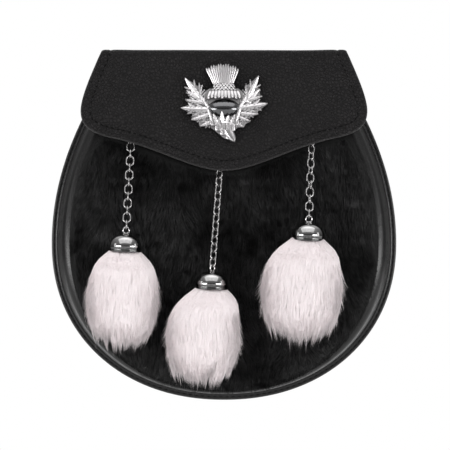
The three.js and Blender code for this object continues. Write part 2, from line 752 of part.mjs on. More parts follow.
function hangingTassel(row) {
  const hung = new THREE.Group();
  hung.position.copy(capPlace(row).top);
  hung.rotation.y = degToRad(CAP.tilt);
  hung.add(piece(`cap_${row.name}`, capGeometry(row), MATERIAL.chrome));
  hung.add(piece(`tassel_${row.name}`, tasselGeometry(row), MATERIAL.tassel));
  return hung;
}

// ---- Badge ----
/** A flat layer of the badge, standing forward from its back. */
function layer(shape, thick) {
  const geometry = new THREE.ExtrudeGeometry(shape, { depth: thick, bevelEnabled: false, curveSegments: 6 });
  geometry.rotateX(Math.PI / 2);
  return geometry;
}

function leaves() {
  const shape = new THREE.Shape();
  const wing = TEETH.flatMap(({ x, up, notchX, notchUp }) => [[x, up], [notchX, notchUp]]);
  const right = [[BULB.shoulderX, BULB.shoulderUp], ...wing];
  const left = right.map(([x, up]) => [-x, up]).reverse();
  const { leftX, leftUp, tipX, tipUp, rightX, rightUp } = STEM;
  const round = [...right, [rightX, rightUp], [tipX, tipUp], [leftX, leftUp], ...left];
  shape.setFromPoints(round.map(([x, up]) => new THREE.Vector2(x, up)));
  for (const side of [-1, 1]) {
    const { slotX, slotUp, slotHalf, slotHalfHeight } = BULB;
    const slot = turn(8).map(
      (a) => new THREE.Vector2(side * slotX + slotHalf * Math.cos(a), slotUp + slotHalfHeight * Math.sin(a)),
    );
    shape.holes.push(new THREE.Path(slot));
  }
  return layer(shape, BADGE.plate);
}

/** A tapered layer above the bulb, its top arched where the thistledown spreads. */
function crownLayer({ low, high, from, to, thick, arch = 0 }) {
  const shape = new THREE.Shape();
  shape.moveTo(-low, from);
  shape.lineTo(low, from);
  shape.lineTo(high, to);
  shape.quadraticCurveTo(0, to + 2 * arch, -high, to);
  shape.closePath();
  return layer(shape, thick);
}

function badge() {
  const bulb = new THREE.SphereGeometry(1, 14, 8);
  bulb.scale(BULB.halfWidth, BULB.stand, BULB.halfHeight);
  const behind = new THREE.BoxGeometry(4 * BULB.halfWidth, BULB.stand * 2, 4 * BULB.halfHeight);
  behind.translate(0, BULB.stand, 0);
  const dome = manifold(bulb).subtract(manifold(behind));
  const layers = [leaves(), ...CROWN.map(crownLayer)].map(manifold);
  const made = piece("thistle_badge", fromManifold(layers.reduce((a, b) => a.add(b), dome)), MATERIAL.pewter);
  made.position.copy(at(0, BADGE.drop, flapRise(BADGE.drop) + FLAP.thick + GAP));
  made.rotation.x = -flapLean;
  return made;
}

// ---- The whole sporran ----
const sporran = new THREE.Group();
sporran.add(backPanel(), gusset(), frontPanel(), furFront(), flap(), snapStud(), badge());
sporran.add(beltLoop("belt_loop_left", -LOOP.centre), beltLoop("belt_loop_right", LOOP.centre));
for (const row of DROPS) sporran.add(anchor(row), ...chain(row), hangingTassel(row));

export default sporran;
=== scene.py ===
"""A semi-dress sporran: moulded leather pouch, fur front, grained flap, thistle badge and fur tassels.

Sizes are in millimetres, as they are on the bench. A drop is measured down from the top fold, a rise
forward from the back panel's front face, and an inset inward from the pouch's outline.
"""

import logging
import math
from dataclasses import dataclass, field
from enum import Enum
from functools import cached_property
from typing import Callable, Sequence

import bmesh
import bpy
import numpy as np
from mathutils import Matrix, Vector


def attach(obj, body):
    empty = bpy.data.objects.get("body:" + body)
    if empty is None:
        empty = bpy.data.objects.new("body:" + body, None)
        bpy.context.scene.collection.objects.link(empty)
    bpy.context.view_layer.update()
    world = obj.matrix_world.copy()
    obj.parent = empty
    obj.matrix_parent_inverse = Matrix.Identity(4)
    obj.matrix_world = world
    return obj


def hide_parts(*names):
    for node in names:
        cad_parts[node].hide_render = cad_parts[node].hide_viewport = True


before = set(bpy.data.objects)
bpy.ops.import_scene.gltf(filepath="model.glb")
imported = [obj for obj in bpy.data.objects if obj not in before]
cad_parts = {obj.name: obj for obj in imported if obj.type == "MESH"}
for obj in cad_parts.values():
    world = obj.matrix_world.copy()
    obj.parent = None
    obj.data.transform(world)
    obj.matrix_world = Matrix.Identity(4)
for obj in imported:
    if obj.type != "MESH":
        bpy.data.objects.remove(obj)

LOG = logging.getLogger("sporran")
MM = 0.001
BODY = "root"
FULL_TURN = 6.28
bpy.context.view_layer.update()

Array = np.ndarray
Colour = tuple[float, float, float]
Placing = Callable[[Array, Array], tuple[Array, Array]]


# ---- Small sums ----
def lerp(a: Array | float, b: Array | float, share: Array | float) -> Array | float:
    """A value between a and b, at a share of the way."""
    return a + (b - a) * share


def smooth(share: Array | float) -> Array | float:
    """A share from 0 to 1 that starts and ends gently."""
    held = np.clip(share, 0.0, 1.0)
    return held * held * (3.0 - 2.0 * held)


def unit(rows: Array) -> Array:
    """Rows of numbers, each scaled to a length of 1."""
    return rows / np.maximum(np.linalg.norm(rows, axis=-1, keepdims=True), 1e-12)


def bezier(handles: Sequence[tuple[float, float]], share: Array | float) -> Array:
    """Points of a cubic curve.

    Args:
        handles: its four points.
        share: how far along each wanted point lies, 0 to 1.

    Returns:
        One row of x and y for each share.
    """
    t = np.atleast_1d(share)[:, None]
    a, b, c, d = (np.array(handle) for handle in handles)
    return (1 - t) ** 3 * a + 3 * (1 - t) ** 2 * t * b + 3 * (1 - t) * t * t * c + t**3 * d


def run_of(line: Array) -> Array:
    """How far along a line of points each of them lies."""
    return np.concatenate([[0.0], np.cumsum(np.linalg.norm(np.diff(line, axis=0), axis=1))])


def evenly(line: Array, count: int) -> Array:
    """A line's points set out again at equal distances.

    Args:
        line: the line's points, one to a row.
        count: how many points to set out, both ends included.

    Returns:
        The new points, one to a row.
    """
    run = run_of(line)
    wanted = np.linspace(0.0, run[-1], count)
    return np.stack([np.interp(wanted, run, column) for column in line.T], -1)


def distance_to(points: Array, line: Array) -> Array:
    """How far each point lies from the nearest point of a line.

    Args:
        points: the points, one to a row.
        line: the line's points, one to a row, close together.

    Returns:
        One distance for each point.
    """
    nearest = np.empty(len(points))
    batch = 4096
    for start in range(0, len(points), batch):
        part = points[start : start + batch]
        gaps = np.linalg.norm(part[:, None, :] - line[None, :, :], axis=2)
        nearest[start : start + batch] = gaps.min(axis=1)
    return nearest


def inside(points: Array, loop: Array) -> Array:
    """Which points lie inside a closed loop.

    Args:
        points: the points, one to a row.
        loop: the loop's corners, one to a row.

    Returns:
        True for each point that lies inside.
    """
    crossings = np.zeros(len(points), bool)
    for a, b in zip(loop, np.roll(loop, -1, axis=0)):
        if a[1] == b[1]:
            continue
        spans = (a[1] > points[:, 1]) != (b[1] > points[:, 1])
        at_x = a[0] + (points[:, 1] - a[1]) / (b[1] - a[1]) * (b[0] - a[0])
        crossings ^= spans & (points[:, 0] < at_x)
    return crossings


def ripple(x: Array, y: Array, wave: float, seed: int) -> Array:
    """A slow uneven swell over a surface, between about -1 and 1, the same each time.

    Args:
        x: sideways places.
        y: places up or down.
        wave: the size of the swells.
        seed: picks one pattern of swells.

    Returns:
        The height of the swell at each place.
    """
    swells, tallest = 7, 4.0
    dice = np.random.default_rng(seed)
    total = np.zeros(np.broadcast(x, y).shape)
    for _ in range(swells):
        angle, phase = dice.uniform(0, FULL_TURN), dice.uniform(0, FULL_TURN)
        pace = dice.uniform(0.6, 1.5)
        total += np.sin((x * math.cos(angle) + y * math.sin(angle)) * FULL_TURN * pace / wave + phase)
    return total / tallest


# ---- The lines of the pouch ----
@dataclass(frozen=True)
class PouchLines:
    """The lines that the pouch's walls, fur, flap and hangings follow."""

    belt_drop: float = 44.0
    back_face: float = 5.4
    gap: float = 0.3
    half_width: float = 95.0
    height: float = 192.5
    widest_drop: float = 106.0
    flare: float = 0.0036
    shoulder_drop: float = 40.0
    roundness: float = 2.14
    mouth_drop: float = 12.0
    deep_drop: float = 125.0
    shallow: float = 22.0
    deep: float = 30.0
    crown_rise: float = 3.0
    crown_half_width: float = 80.0
    crown_half_height: float = 86.0
    crown_drop: float = 98.0
    leather: float = 1.8
    flange: float = 3.4
    rim_radius: float = 6.0
    side_lean: float = 2.6
    base_lean: float = 0.5
    fine: int = 1200

    def place(self, x: Array | float, drop: Array | float, rise: Array | float) -> Array:
        """Points in metres from their sideways places, drops and rises."""
        parts = np.broadcast_arrays(x, -(self.back_face + np.asarray(rise)), self.belt_drop - drop)
        return np.stack(parts, -1) * MM

    def side_half_width(self, drop: Array) -> Array:
        """Half the pouch's width above its widest line.

        Args:
            drop: one or more drops.

        Returns:
            The half width at each drop, in millimetres.
        """
        up = self.widest_drop - np.maximum(drop, self.shoulder_drop)
        slope = 2 * self.flare * (self.widest_drop - self.shoulder_drop)
        return self.half_width - self.flare * up**2 - slope * np.maximum(0, self.shoulder_drop - drop)

    def outline(self, u: Array, top: float) -> Array:
        """The pouch's outline.

        Args:
            u: 0 to 1 runs down the left side, 1 to 2 round the base and 2 to 3 up the right side.
            top: the drop where the sides start.

        Returns:
            One row of sideways place and drop for each u.
        """
        share = np.where(u > 1.5, 3 - u, u)
        side_drop = lerp(top, self.widest_drop, np.minimum(share, 1))
        angle = np.clip(share - 1, 0, 0.5) * math.pi
        power = 2 / self.roundness
        reach = self.height - self.widest_drop
        x = np.where(share <= 1, -self.side_half_width(side_drop),
                     -self.half_width * np.cos(angle) ** power)
        drop = np.where(share <= 1, side_drop, self.widest_drop + reach * np.sin(angle) ** power)
        return np.stack([np.where(u > 1.5, -x, x), drop], -1)

    def round_line(self, count: int, top: float) -> Array:
        """A number of points set evenly along the outline."""
        return evenly(self.outline(np.linspace(0, 3, self.fine), top), count)

    def stations(self, count: int, top: float) -> tuple[Array, Array]:
        """Evenly set points of the outline, with the outward direction at each.

        Args:
            count: how many points.
            top: the drop where the sides start.

        Returns:
            The points and the outward directions, one to a row.
        """
        edge = self.round_line(count, top)
        along = unit(np.gradient(edge, axis=0))
        return edge, np.stack([-along[:, 1], along[:, 0]], -1)

    def lean(self, out: Array) -> Array:
        """How far the side wall leans in: most at the sides, least at the base."""
        return lerp(self.base_lean, self.side_lean, out[..., 0] ** 2)

    def rim_inset(self, out: Array) -> Array:
        """The inset where the wall has rolled over to the front."""
        return self.flange + self.lean(out) + self.rim_radius

    def depth(self, drop: Array) -> Array:
        """The body's depth at a drop."""
        share = (drop - self.mouth_drop) / (self.deep_drop - self.mouth_drop)
        return lerp(self.shallow, self.deep, smooth(share))

    def crown(self, x: Array, drop: Array) -> Array:
        """How far the front swells.

        Args:
            x: sideways places.
            drop: drops.

        Returns:
            The swell at each place, in millimetres.
        """
        away = (x / self.crown_half_width) ** 2
        away = away + ((drop - self.crown_drop) / self.crown_half_height) ** 2
        return self.crown_rise * np.maximum(0, 1 - away)

    def panel_face(self, x: Array, drop: Array) -> Array:
        """The rise of the front panel's face at a place."""
        return self.depth(drop) + self.crown(x, drop) + self.gap + self.leather


@dataclass(frozen=True)
class FlapLines:
    """The lines of the flap: its side, its rounded corner and its pointed lower edge."""

    thick: float = 2.2
    tab_drop: float = 17.0
    tab_taper: float = 1.5
    fold: float = 6.0
    behind: float = -4.9
    front_rise: float = 27.5
    tip_rise: float = 38.6
    tip_drop: float = 66.2
    fine: int = 120
    side: tuple[tuple[float, float], ...] = ((67, 0), (70.4, 9), (78.3, 24.5), (78.4, 33.5))
    corner: tuple[tuple[float, float], ...] = ((78.4, 33.5), (78.4, 41), (74.1, 45.3), (62, 48.2))
    lower: tuple[tuple[float, float], ...] = ((62, 48.2), (36, 53.2), (18, 66.2), (0, 66.2))

    @cached_property
    def lean(self) -> float:
        """How far the flap's front leans out from the vertical."""
        return math.atan((self.tip_rise - self.front_rise) / self.tip_drop)

    @cached_property
    def side_line(self) -> Array:
        """The flap's right side from the top fold to its widest point."""
        return bezier(self.side, np.linspace(0, 1, self.fine))

    @cached_property
    def free_line(self) -> Array:
        """Half the free edge.

        Returns:
            Its points from the tip to the widest point of the right side, one to a row.
        """
        share = np.linspace(0, 1, 2 * self.fine)
        half = np.vstack([bezier(self.corner, share), bezier(self.lower, share)[1:]])
        return evenly(half, 5 * self.fine)[::-1]

    @cached_property
    def rim_line(self) -> Array:
        """The whole cut edge of the front.

        Returns:
            Its points from the left top corner round to the right, one to a row.
        """
        right = np.vstack([self.free_line, self.side_line[::-1][1:]])
        left = right[::-1] * np.array([-1, 1])
        return np.vstack([left, right[1:]])

    def rise(self, drop: Array | float) -> Array | float:
        """The rise of the flap's inner face at a drop."""
        return lerp(self.front_rise, self.tip_rise, drop / self.tip_drop)

    def side_x(self, drop: Array) -> Array:
        """Half the flap's width at a drop along its side."""
        return np.interp(drop, self.side_line[:, 1], self.side_line[:, 0])

    def edge(self, c: Array) -> Array:
        """Points of the free edge.

        Args:
            c: from -1 at the left through 0 at the tip to 1 at the right.

        Returns:
            One row of sideways place and drop for each c.
        """
        share = np.linspace(0, 1, len(self.free_line))
        x = np.interp(np.abs(c), share, self.free_line[:, 0])
        return np.stack([np.sign(c) * x, np.interp(np.abs(c), share, self.free_line[:, 1])], -1)

    def edge_drop(self, x: Array) -> Array:
        """The drop of the free edge at a sideways place."""
        return np.interp(np.abs(x), self.free_line[:, 0], self.free_line[:, 1])


POUCH = PouchLines()
FLAP = FlapLines()


# ---- Making meshes ----
def linked(name: str, held: bpy.types.ID) -> bpy.types.Object:
    """A new object in the scene.

    Args:
        name: the object's name.
        held: the mesh, lamp or camera that it holds. A mesh is made smooth all over.

    Returns:
        The object.
    """
    if isinstance(held, bpy.types.Mesh):
        held.polygons.foreach_set("use_smooth", np.ones(len(held.polygons), bool))
    made = bpy.data.objects.new(name, held)
    bpy.context.scene.collection.objects.link(made)
    return made


def to_object(shape: bmesh.types.BMesh, name: str) -> bpy.types.Object:
    """Turns a bmesh into an object and frees it.

    Args:
        shape: the bmesh.
        name: the object's name.

    Returns:
        The object.
    """
    mesh = bpy.data.meshes.new(name)
    shape.to_mesh(mesh)
    shape.free()
    return linked(name, mesh)


def add_sheet(shape: bmesh.types.BMesh, across: int, along: int, placing: Placing) -> None:
    """Adds a sheet of squares to a bmesh and lays it where it belongs.

    Args:
        shape: the bmesh, whose float layer "relief" takes the sheet's high and low places.
        across: squares in the sheet's width.
        along: squares in its length.
        placing: takes shares across and along, and returns points in metres and their relief.
    """
    relief = shape.verts.layers.float.get("relief") or shape.verts.layers.float.new("relief")
    made = bmesh.ops.create_grid(shape, x_segments=across, y_segments=along, size=0.5)["verts"]
    flat = np.array([corner.co for corner in made]) + 0.5
    points, heights = placing(flat[:, 0], flat[:, 1])
    for corner, point, height in zip(made, points, np.broadcast_to(heights, len(points))):
        corner.co = point
        corner[relief] = height


def sheet(
    name: str, across: int, along: int, placing: Placing, way: Sequence[float]
) -> bpy.types.Object:
    """An object from one sheet of squares.

    Args:
        name: the object's name.
        across: squares in the sheet's width.
        along: squares in its length.
        placing: says where each corner goes, as for add_sheet.
        way: the direction that most of its outer face looks in.

    Returns:
        The object.
    """
    shape = bmesh.new()
    add_sheet(shape, across, along, placing)
    shape.normal_update()
    faced = sum((face.normal * face.calc_area() for face in shape.faces), Vector())
    if faced.dot(Vector(way)) < 0:
        bmesh.ops.reverse_faces(shape, faces=shape.faces)
    return to_object(shape, name)


def walled(name: str, across: int, along: int, outer: Placing, inner: Placing) -> bpy.types.Object:
    """An object from two sheets of squares, closed round their edges.

    The first material is on the outer sheet, the second on the inner one and the third on the cut edge.

    Args:
        name: the object's name.
        across: squares in the sheets' width.
        along: squares in their length.
        outer: says where each corner of the outer sheet goes, as for add_sheet.
        inner: the same for the inner sheet.

    Returns:
        The object.
    """
    shape = bmesh.new()
    for index, placing in enumerate((outer, inner)):
        before = set(shape.faces)
        add_sheet(shape, across, along, placing)
        for face in set(shape.faces) - before:
            face.material_index = index
    rims = [edge for edge in shape.edges if edge.is_boundary]
    for face in bmesh.ops.bridge_loops(shape, edges=rims)["faces"]:
        face.material_index = 2
    bmesh.ops.recalc_face_normals(shape, faces=shape.faces)
    return to_object(shape, name)


def slab(outline: Array, thick: Sequence[float]) -> bmesh.types.BMesh:
    """A flat plate cut to an outline.

    Args:
        outline: the corners of its first face, one to a row.
        thick: the way from its first face to its second, as long as the plate is thick.

    Returns:
        The plate, with a float layer "relief" on its corners.
    """
    shape = bmesh.new()
    shape.verts.layers.float.new("relief")
    bmesh.ops.create_circle(shape, segments=len(outline), radius=1, cap_ends=True)
    shape.verts.ensure_lookup_table()
    for corner, point in zip(shape.verts, outline):
        corner.co = point
    grown = bmesh.ops.extrude_face_region(shape, geom=list(shape.faces), use_keep_orig=True)["geom"]
    moved = [part for part in grown if isinstance(part, bmesh.types.BMVert)]
    bmesh.ops.translate(shape, verts=moved, vec=thick)
    bmesh.ops.recalc_face_normals(shape, faces=shape.faces)
    return shape


def give_wall(piece: bpy.types.Object, thick: float, rounding: float) -> None:
    """Gives a sheet its thickness behind its outer face, and rounds the cut edge.

    The second material is the inside and the third the cut edge, where the piece has them.

    Args:
        piece: the sheet.
        thick: the wall's thickness.
        rounding: the radius of the cut edge's corners, or 0 to leave them.
    """
    last = max(0, len(piece.data.materials) - 1)
    wall = piece.modifiers.new("wall", "SOLIDIFY")
    wall.thickness = thick * MM
    wall.offset = -1
    wall.material_offset = min(1, last)
    wall.material_offset_rim = min(2, last)
    if not rounding:
        return
    edge = piece.modifiers.new("cut_edge", "BEVEL")
    edge.width = rounding * MM
    edge.segments = 2
    edge.limit_method = "ANGLE"
    edge.angle_limit = math.radians(50)


def tubes(name: str, paths: Array, radii: Array) -> bpy.types.Object:
    """Many fine three-sided hairs joined in one mesh, each closed at its root and its tip.

    Args:
        name: the object's name.
        paths: the hairs' points in metres, hair by point by axis, the last point being the tip.
        radii: the hairs' radii in metres at every point but the tip.

    Returns:
        The object.
    """
    count, points, _ = paths.shape
    rings, sides = points - 1, 3
    along = unit(np.gradient(paths, axis=1))[:, :rings]
    guide = np.broadcast_to(np.array([0.31, -0.87, 0.38]), along.shape)
    side = unit(np.cross(guide, along))
    other = np.cross(along, side)
    angles = np.arange(sides) * 2 * math.pi / sides
    about = np.cos(angles)[:, None] * side[:, :, None, :] + np.sin(angles)[:, None] * other[:, :, None, :]
    ring = (paths[:, :rings, None, :] + radii[:, :, None, None] * about).reshape(count, rings * sides, 3)
    corners = np.concatenate([ring, paths[:, -1:, :]], axis=1)
    tip = rings * sides
    loops: list[int] = []
    for low in range(0, tip - sides, sides):
        for i in range(sides):
            k = (i + 1) % sides
            loops += [low + i, low + k, low + sides + k, low + sides + i]
    for i in range(sides):
        loops += [tip - sides + i, tip - sides + (i + 1) % sides, tip]
    loops += [0, 2, 1]
    totals = [4] * (sides * (rings - 1)) + [3] * (sides + 1)
    return joined(name, corners, np.array(loops), np.array(totals))


def joined(name: str, corners: Array, loops: Array, totals: Array) -> bpy.types.Object:
    """One mesh from many copies of a small one.

    Args:
        name: the object's name.
        corners: the copies' corners in metres, copy by corner by axis.
        loops: the corner numbers of one copy's faces, one face after another.
        totals: how many corners each of its faces has.

    Returns:
        The object.
    """
    count, size, _ = corners.shape
    shift = (np.arange(count) * size)[:, None]
    mesh = bpy.data.meshes.new(name)
    mesh.vertices.add(count * size)
    mesh.vertices.foreach_set("co", corners.astype(np.float32).ravel())
    every = (loops[None, :] + shift).ravel()
    mesh.loops.add(len(every))
    mesh.loops.foreach_set("vertex_index", every.astype(np.int32))
    starts = np.concatenate([[0], np.cumsum(np.tile(totals, count))[:-1]])
    mesh.polygons.add(len(starts))
    mesh.polygons.foreach_set("loop_start", starts.astype(np.int32))
    mesh.update(calc_edges=True)
    return linked(name, mesh)


def copies(name: str, pattern: bmesh.types.BMesh, turns: Array, places: Array) -> bpy.types.Object:
    """One mesh from a pattern set down in many places, and frees the pattern.

    Args:
        name: the object's name.
        pattern: the small shape, in millimetres about its own middle.
        turns: the directions of the pattern's own axes, place by axis by direction.
        places: where each copy's middle goes, in metres.

    Returns:
        The object.
    """
    pattern.verts.ensure_lookup_table()
    own = np.array([corner.co for corner in pattern.verts]) * MM
    loops = np.array([corner.index for face in pattern.faces for corner in face.verts])
    totals = np.array([len(face.verts) for face in pattern.faces])
    pattern.free()
    corners = np.einsum("vk,nkj->nvj", own, turns) + places[:, None, :]
    return joined(name, corners, loops, totals)


def ring_pattern(across: float, wire: float, steps: int, sides: int) -> bmesh.types.BMesh:
    """A ring of round wire in the XZ plane.

    Args:
        across: the ring's radius to the middle of its wire.
        wire: the wire's thickness.
        steps: its pieces round the ring.
        sides: its pieces round the wire.

    Returns:
        The ring in millimetres, about its own middle.
    """
    shape = bmesh.new()
    bmesh.ops.create_circle(shape, segments=sides, radius=wire / 2)
    bmesh.ops.translate(shape, verts=shape.verts, vec=(across, 0, 0))
    bmesh.ops.rotate(shape, verts=shape.verts, matrix=Matrix.Rotation(math.pi / 2, 3, "X"))
    bmesh.ops.rotate(shape, verts=shape.verts, matrix=Matrix.Rotation(math.pi / 2, 3, "X"),
                     cent=(across, 0, 0))
    bmesh.ops.spin(shape, geom=[*shape.verts, *shape.edges], cent=(0, 0, 0), axis=(0, 1, 0),
                   angle=2 * math.pi, steps=steps, use_merge=True)
    bmesh.ops.remove_doubles(shape, verts=shape.verts, dist=1e-4)
    bmesh.ops.recalc_face_normals(shape, faces=shape.faces)
    return shape


def hand_over(piece: bpy.types.Object, slot: "Slot", *nodes: str) -> None:
    """Fixes a finished piece to the pouch, and hides the nodes that it stands for.

    Args:
        piece: the finished piece.
        slot: not used.
        nodes: the nodes that it stands for, if any.
    """
    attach(piece, BODY)
    if nodes:
        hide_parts(*nodes)
    LOG.info("%s: %d faces before its modifiers", piece.name, len(piece.data.polygons))


# ---- Effects that several finishes share ----
Socket = bpy.types.NodeSocket
Given = float | tuple[float, ...] | Socket


class Nodes:
    """The nodes of one shader tree, added and joined."""

    def __init__(self, tree: bpy.types.NodeTree) -> None:
        """Starts on a tree, which it empties."""
        self.tree = tree
        tree.nodes.clear()

    def add(
        self, kind: str, given: dict[str | int, Given] | None = None, **settings: str
    ) -> bpy.types.Node:
        """Adds a node.

        Args:
            kind: what kind of shader node.
            given: what its inputs take, by name or number: a value, or another node's output.
            settings: the node's own settings.

        Returns:
            The node.
        """
        node = self.tree.nodes.new("ShaderNode" + kind)
        for key, value in settings.items():
            setattr(node, key, value)
        for key, value in (given or {}).items():
            self.give(node.inputs[key], value)
        return node

    def give(self, socket: Socket, value: Given) -> None:
        """Gives a node's input what it takes.

        Args:
            socket: the input.
            value: a value, or another node's output.
        """
        if isinstance(value, Socket):
            self.tree.links.new(value, socket)
        elif socket.type == "RGBA":
            socket.default_value = (*value, 1.0)
        else:
            socket.default_value = value

    def sum(self, operation: str, a: Given, b: Given = 0.0) -> Socket:
        """Works out one number from two."""
        return self.add("Math", {0: a, 1: b}, operation=operation).outputs[0]

    def times(self, a: Given, b: Given) -> Socket:
        """Multiplies two numbers."""
        return self.sum("MULTIPLY", a, b)

    def blend(self, share: Given, a: Given, b: Given) -> Socket:
        """A colour between two."""
        return self.add("Mix", {0: share, 6: a, 7: b}, data_type="RGBA").outputs[2]

    def spread(
        self, value: Given, low: float, high: float, first: float = 0.0, last: float = 1.0
    ) -> Socket:
        """A value taken from one span to another, and held there."""
        return self.add("MapRange", {0: value, 1: low, 2: high, 3: first, 4: last}).outputs[0]

    def clouds(self, place: Socket, scale: Given, detail: float = 2.0) -> Socket:
        """An even cloudy noise between 0 and 1."""
        return self.add("TexNoise", {"Vector": place, "Scale": scale, "Detail": detail}).outputs[0]


class Surface(Nodes):
    """The nodes of one material, with its shader and the place that is shaded."""

    def __init__(self, tree: bpy.types.NodeTree) -> None:
        """Starts with a shader and its output, on the piece's own coordinates."""
        super().__init__(tree)
        self.shader = self.add("BsdfPrincipled")
        self.add("OutputMaterial", {"Surface": self.shader.outputs[0]})
        self.place = self.add("TexCoord").outputs["Object"]

    def relief(self) -> Socket:
        """The relief that a mesh carries."""
        return self.add("Attribute", attribute_name="relief").outputs["Fac"]

    def bump(self, height: Given, deep: float) -> None:
        """Raises the surface by a height between 0 and 1, times a depth in millimetres."""
        lift = self.add("Bump", {"Strength": 1.0, "Distance": deep * MM, "Height": height})
        self.give(self.shader.inputs["Normal"], lift.outputs[0])

    def set(self, **given: Given) -> None:
        """Gives the shader's inputs, the spaces in their names written as underscores."""
        for key, value in given.items():
            self.give(self.shader.inputs[key.replace("_", " ")], value)


class Effect:
    """An effect that several finishes use: a node group with named inputs and outputs."""

    name = ""
    takes: dict[str, float] = {}
    gives: tuple[str, ...] = ()

    def fill(self, nodes: Nodes, given: bpy.types.NodeOutputs) -> tuple[Socket, ...]:
        """Adds the group's nodes.

        Args:
            nodes: the group's nodes.
            given: what the group takes, by name.

        Returns:
            What the group puts out, in the order of gives.
        """
        raise NotImplementedError

    def group(self) -> bpy.types.NodeTree:
        """The effect's node group.

        Returns:
            The group, made the first time that it is asked for.
        """
        if self.name in bpy.data.node_groups:
            return bpy.data.node_groups[self.name]
        tree = bpy.data.node_groups.new(self.name, "ShaderNodeTree")
        tree.interface.new_socket("Vector", in_out="INPUT", socket_type="NodeSocketVector")
        for name, value in self.takes.items():
            taken = tree.interface.new_socket(name, in_out="INPUT", socket_type="NodeSocketFloat")
            taken.default_value = value
        for name in self.gives:
            tree.interface.new_socket(name, in_out="OUTPUT", socket_type="NodeSocketFloat")
        nodes = Nodes(tree)
        given = tree.nodes.new("NodeGroupInput")
        result = tree.nodes.new("NodeGroupOutput")
        for name, made in zip(self.gives, self.fill(nodes, given.outputs)):
            tree.links.new(made, result.inputs[name])
        return tree

    def use(self, on: Surface, **given: Given) -> bpy.types.NodeOutputs:
        """Places the effect in a material.

        Args:
            on: the material's nodes.
            given: what the effect takes, by name.

        Returns:
            The effect's outputs, by name.
        """
        node = on.add("Group")
        node.node_tree = self.group()
        for name, value in {"Vector": on.place, **given}.items():
            on.give(node.inputs[name], value)
        return node.outputs


class Pebbles(Effect):
    """The grain of leather: rounded pebbles with creases between them."""

    name = "leather_pebbles"
    takes = {"Size": 1.0}
    gives = ("Height",)

    def fill(self, nodes: Nodes, given: bpy.types.NodeOutputs) -> tuple[Socket, ...]:
        """Rounded cells, bent out of true, with a finer tooth on top.

        Args:
            nodes: the group's nodes.
            given: what the group takes, by name.

        Returns:
            The height, 0 in the creases.
        """
        scale = nodes.sum("DIVIDE", 1000.0, given["Size"])
        bend = nodes.add("TexNoise", {"Vector": given["Vector"], "Scale": nodes.times(scale, 0.5)})
        bent = nodes.add("VectorMath", {0: bend.outputs[1], 3: 0.0006}, operation="SCALE").outputs[0]
        place = nodes.add("VectorMath", {0: given["Vector"], 1: bent}, operation="ADD").outputs[0]
        cells = nodes.add("TexVoronoi", {"Vector": place, "Scale": scale}, feature="DISTANCE_TO_EDGE")
        rounded = nodes.spread(cells.outputs["Distance"], 0.0, 0.34)
        tooth = nodes.clouds(given["Vector"], nodes.times(scale, 3.0), 3.0)
        soft = nodes.sum("POWER", rounded, 0.6)
        return (nodes.sum("ADD", nodes.times(soft, 0.8), nodes.times(tooth, 0.2)),)


class Mottle(Effect):
    """Slow uneven variation of a surface, fine and coarse together."""

    name = "mottle"
    takes = {"Size": 10.0}
    gives = ("Share",)

    def fill(self, nodes: Nodes, given: bpy.types.NodeOutputs) -> tuple[Socket, ...]:
        """Two sizes of clouds, stretched to the whole span.

        Args:
            nodes: the group's nodes.
            given: what the group takes, by name.

        Returns:
            The share.
        """
        scale = nodes.sum("DIVIDE", 1000.0, given["Size"])
        coarse = nodes.clouds(given["Vector"], scale, 3.0)
        fine = nodes.clouds(given["Vector"], nodes.times(scale, 4.3), 2.0)
        both = nodes.sum("ADD", nodes.times(coarse, 0.65), nodes.times(fine, 0.35))
        return (nodes.spread(both, 0.34, 0.66),)


class Scratches(Effect):
    """Fine hairline scratches of handled metal, running two ways."""

    name = "hairline_scratches"
    takes = {"Size": 4.0}
    gives = ("Height", "Share")

    def fill(self, nodes: Nodes, given: bpy.types.NodeOutputs) -> tuple[Socket, ...]:
        """Clouds drawn out into lines, once for each way.

        Args:
            nodes: the group's nodes.
            given: what the group takes, by name.

        Returns:
            The lines' height, and the share of them.
        """
        scale = nodes.sum("DIVIDE", 1000.0, given["Size"])
        ways = []
        for turn in ((0.3, 0.5, 0.4), (-0.7, 0.2, 1.3)):
            drawn = nodes.add("Mapping", {"Vector": given["Vector"], "Rotation": turn,
                                          "Scale": (1, 9, 9)})
            ways.append(nodes.clouds(drawn.outputs[0], scale, 5.0))
        lines = nodes.sum("MAXIMUM", *ways)
        return lines, nodes.spread(lines, 0.55, 0.72)


class WearAndPaintedLight(Effect):
    """Where the relief of a mesh says a surface lies low: edges and grooves, patina in hollows, a painted
    highlight band on the side wall, and a painted dark reflection and painted shade on the bell caps.
    """

    name = "wear_and_painted_light_by_relief"
    takes = {"Relief": 0.0, "Start": -0.1, "Full": -0.5}
    gives = ("Share",)

    def fill(self, nodes: Nodes, given: bpy.types.NodeOutputs) -> tuple[Socket, ...]:
        """The relief from its start to its full depth, broken up a little.

        Args:
            nodes: the group's nodes.
            given: what the group takes, by name.

        Returns:
            The share.
        """
        uneven = nodes.clouds(given["Vector"], 900.0, 3.0)
        span = nodes.add("MapRange", {0: given["Relief"], 1: given["Start"], 2: given["Full"]})
        broken = nodes.spread(uneven, 0.25, 0.6, 0.75, 1.0)
        return (nodes.times(span.outputs[0], broken),)


PEBBLES, MOTTLE, SCRATCHES, WEAR_AND_PAINTED_LIGHT = Pebbles(), Mottle(), Scratches(), WearAndPaintedLight()


# ---- Finishes ----
class Slot(Enum):
    """The record's material slots."""

    FLAP_LEATHER = "flap_leather"
    SMOOTH_LEATHER = "smooth_leather"
    BLACK_FUR = "black_fur"
    WHITE_FUR = "white_fur"
    BADGE_METAL = "badge_metal"
    CHAIN_METAL = "chain_metal"


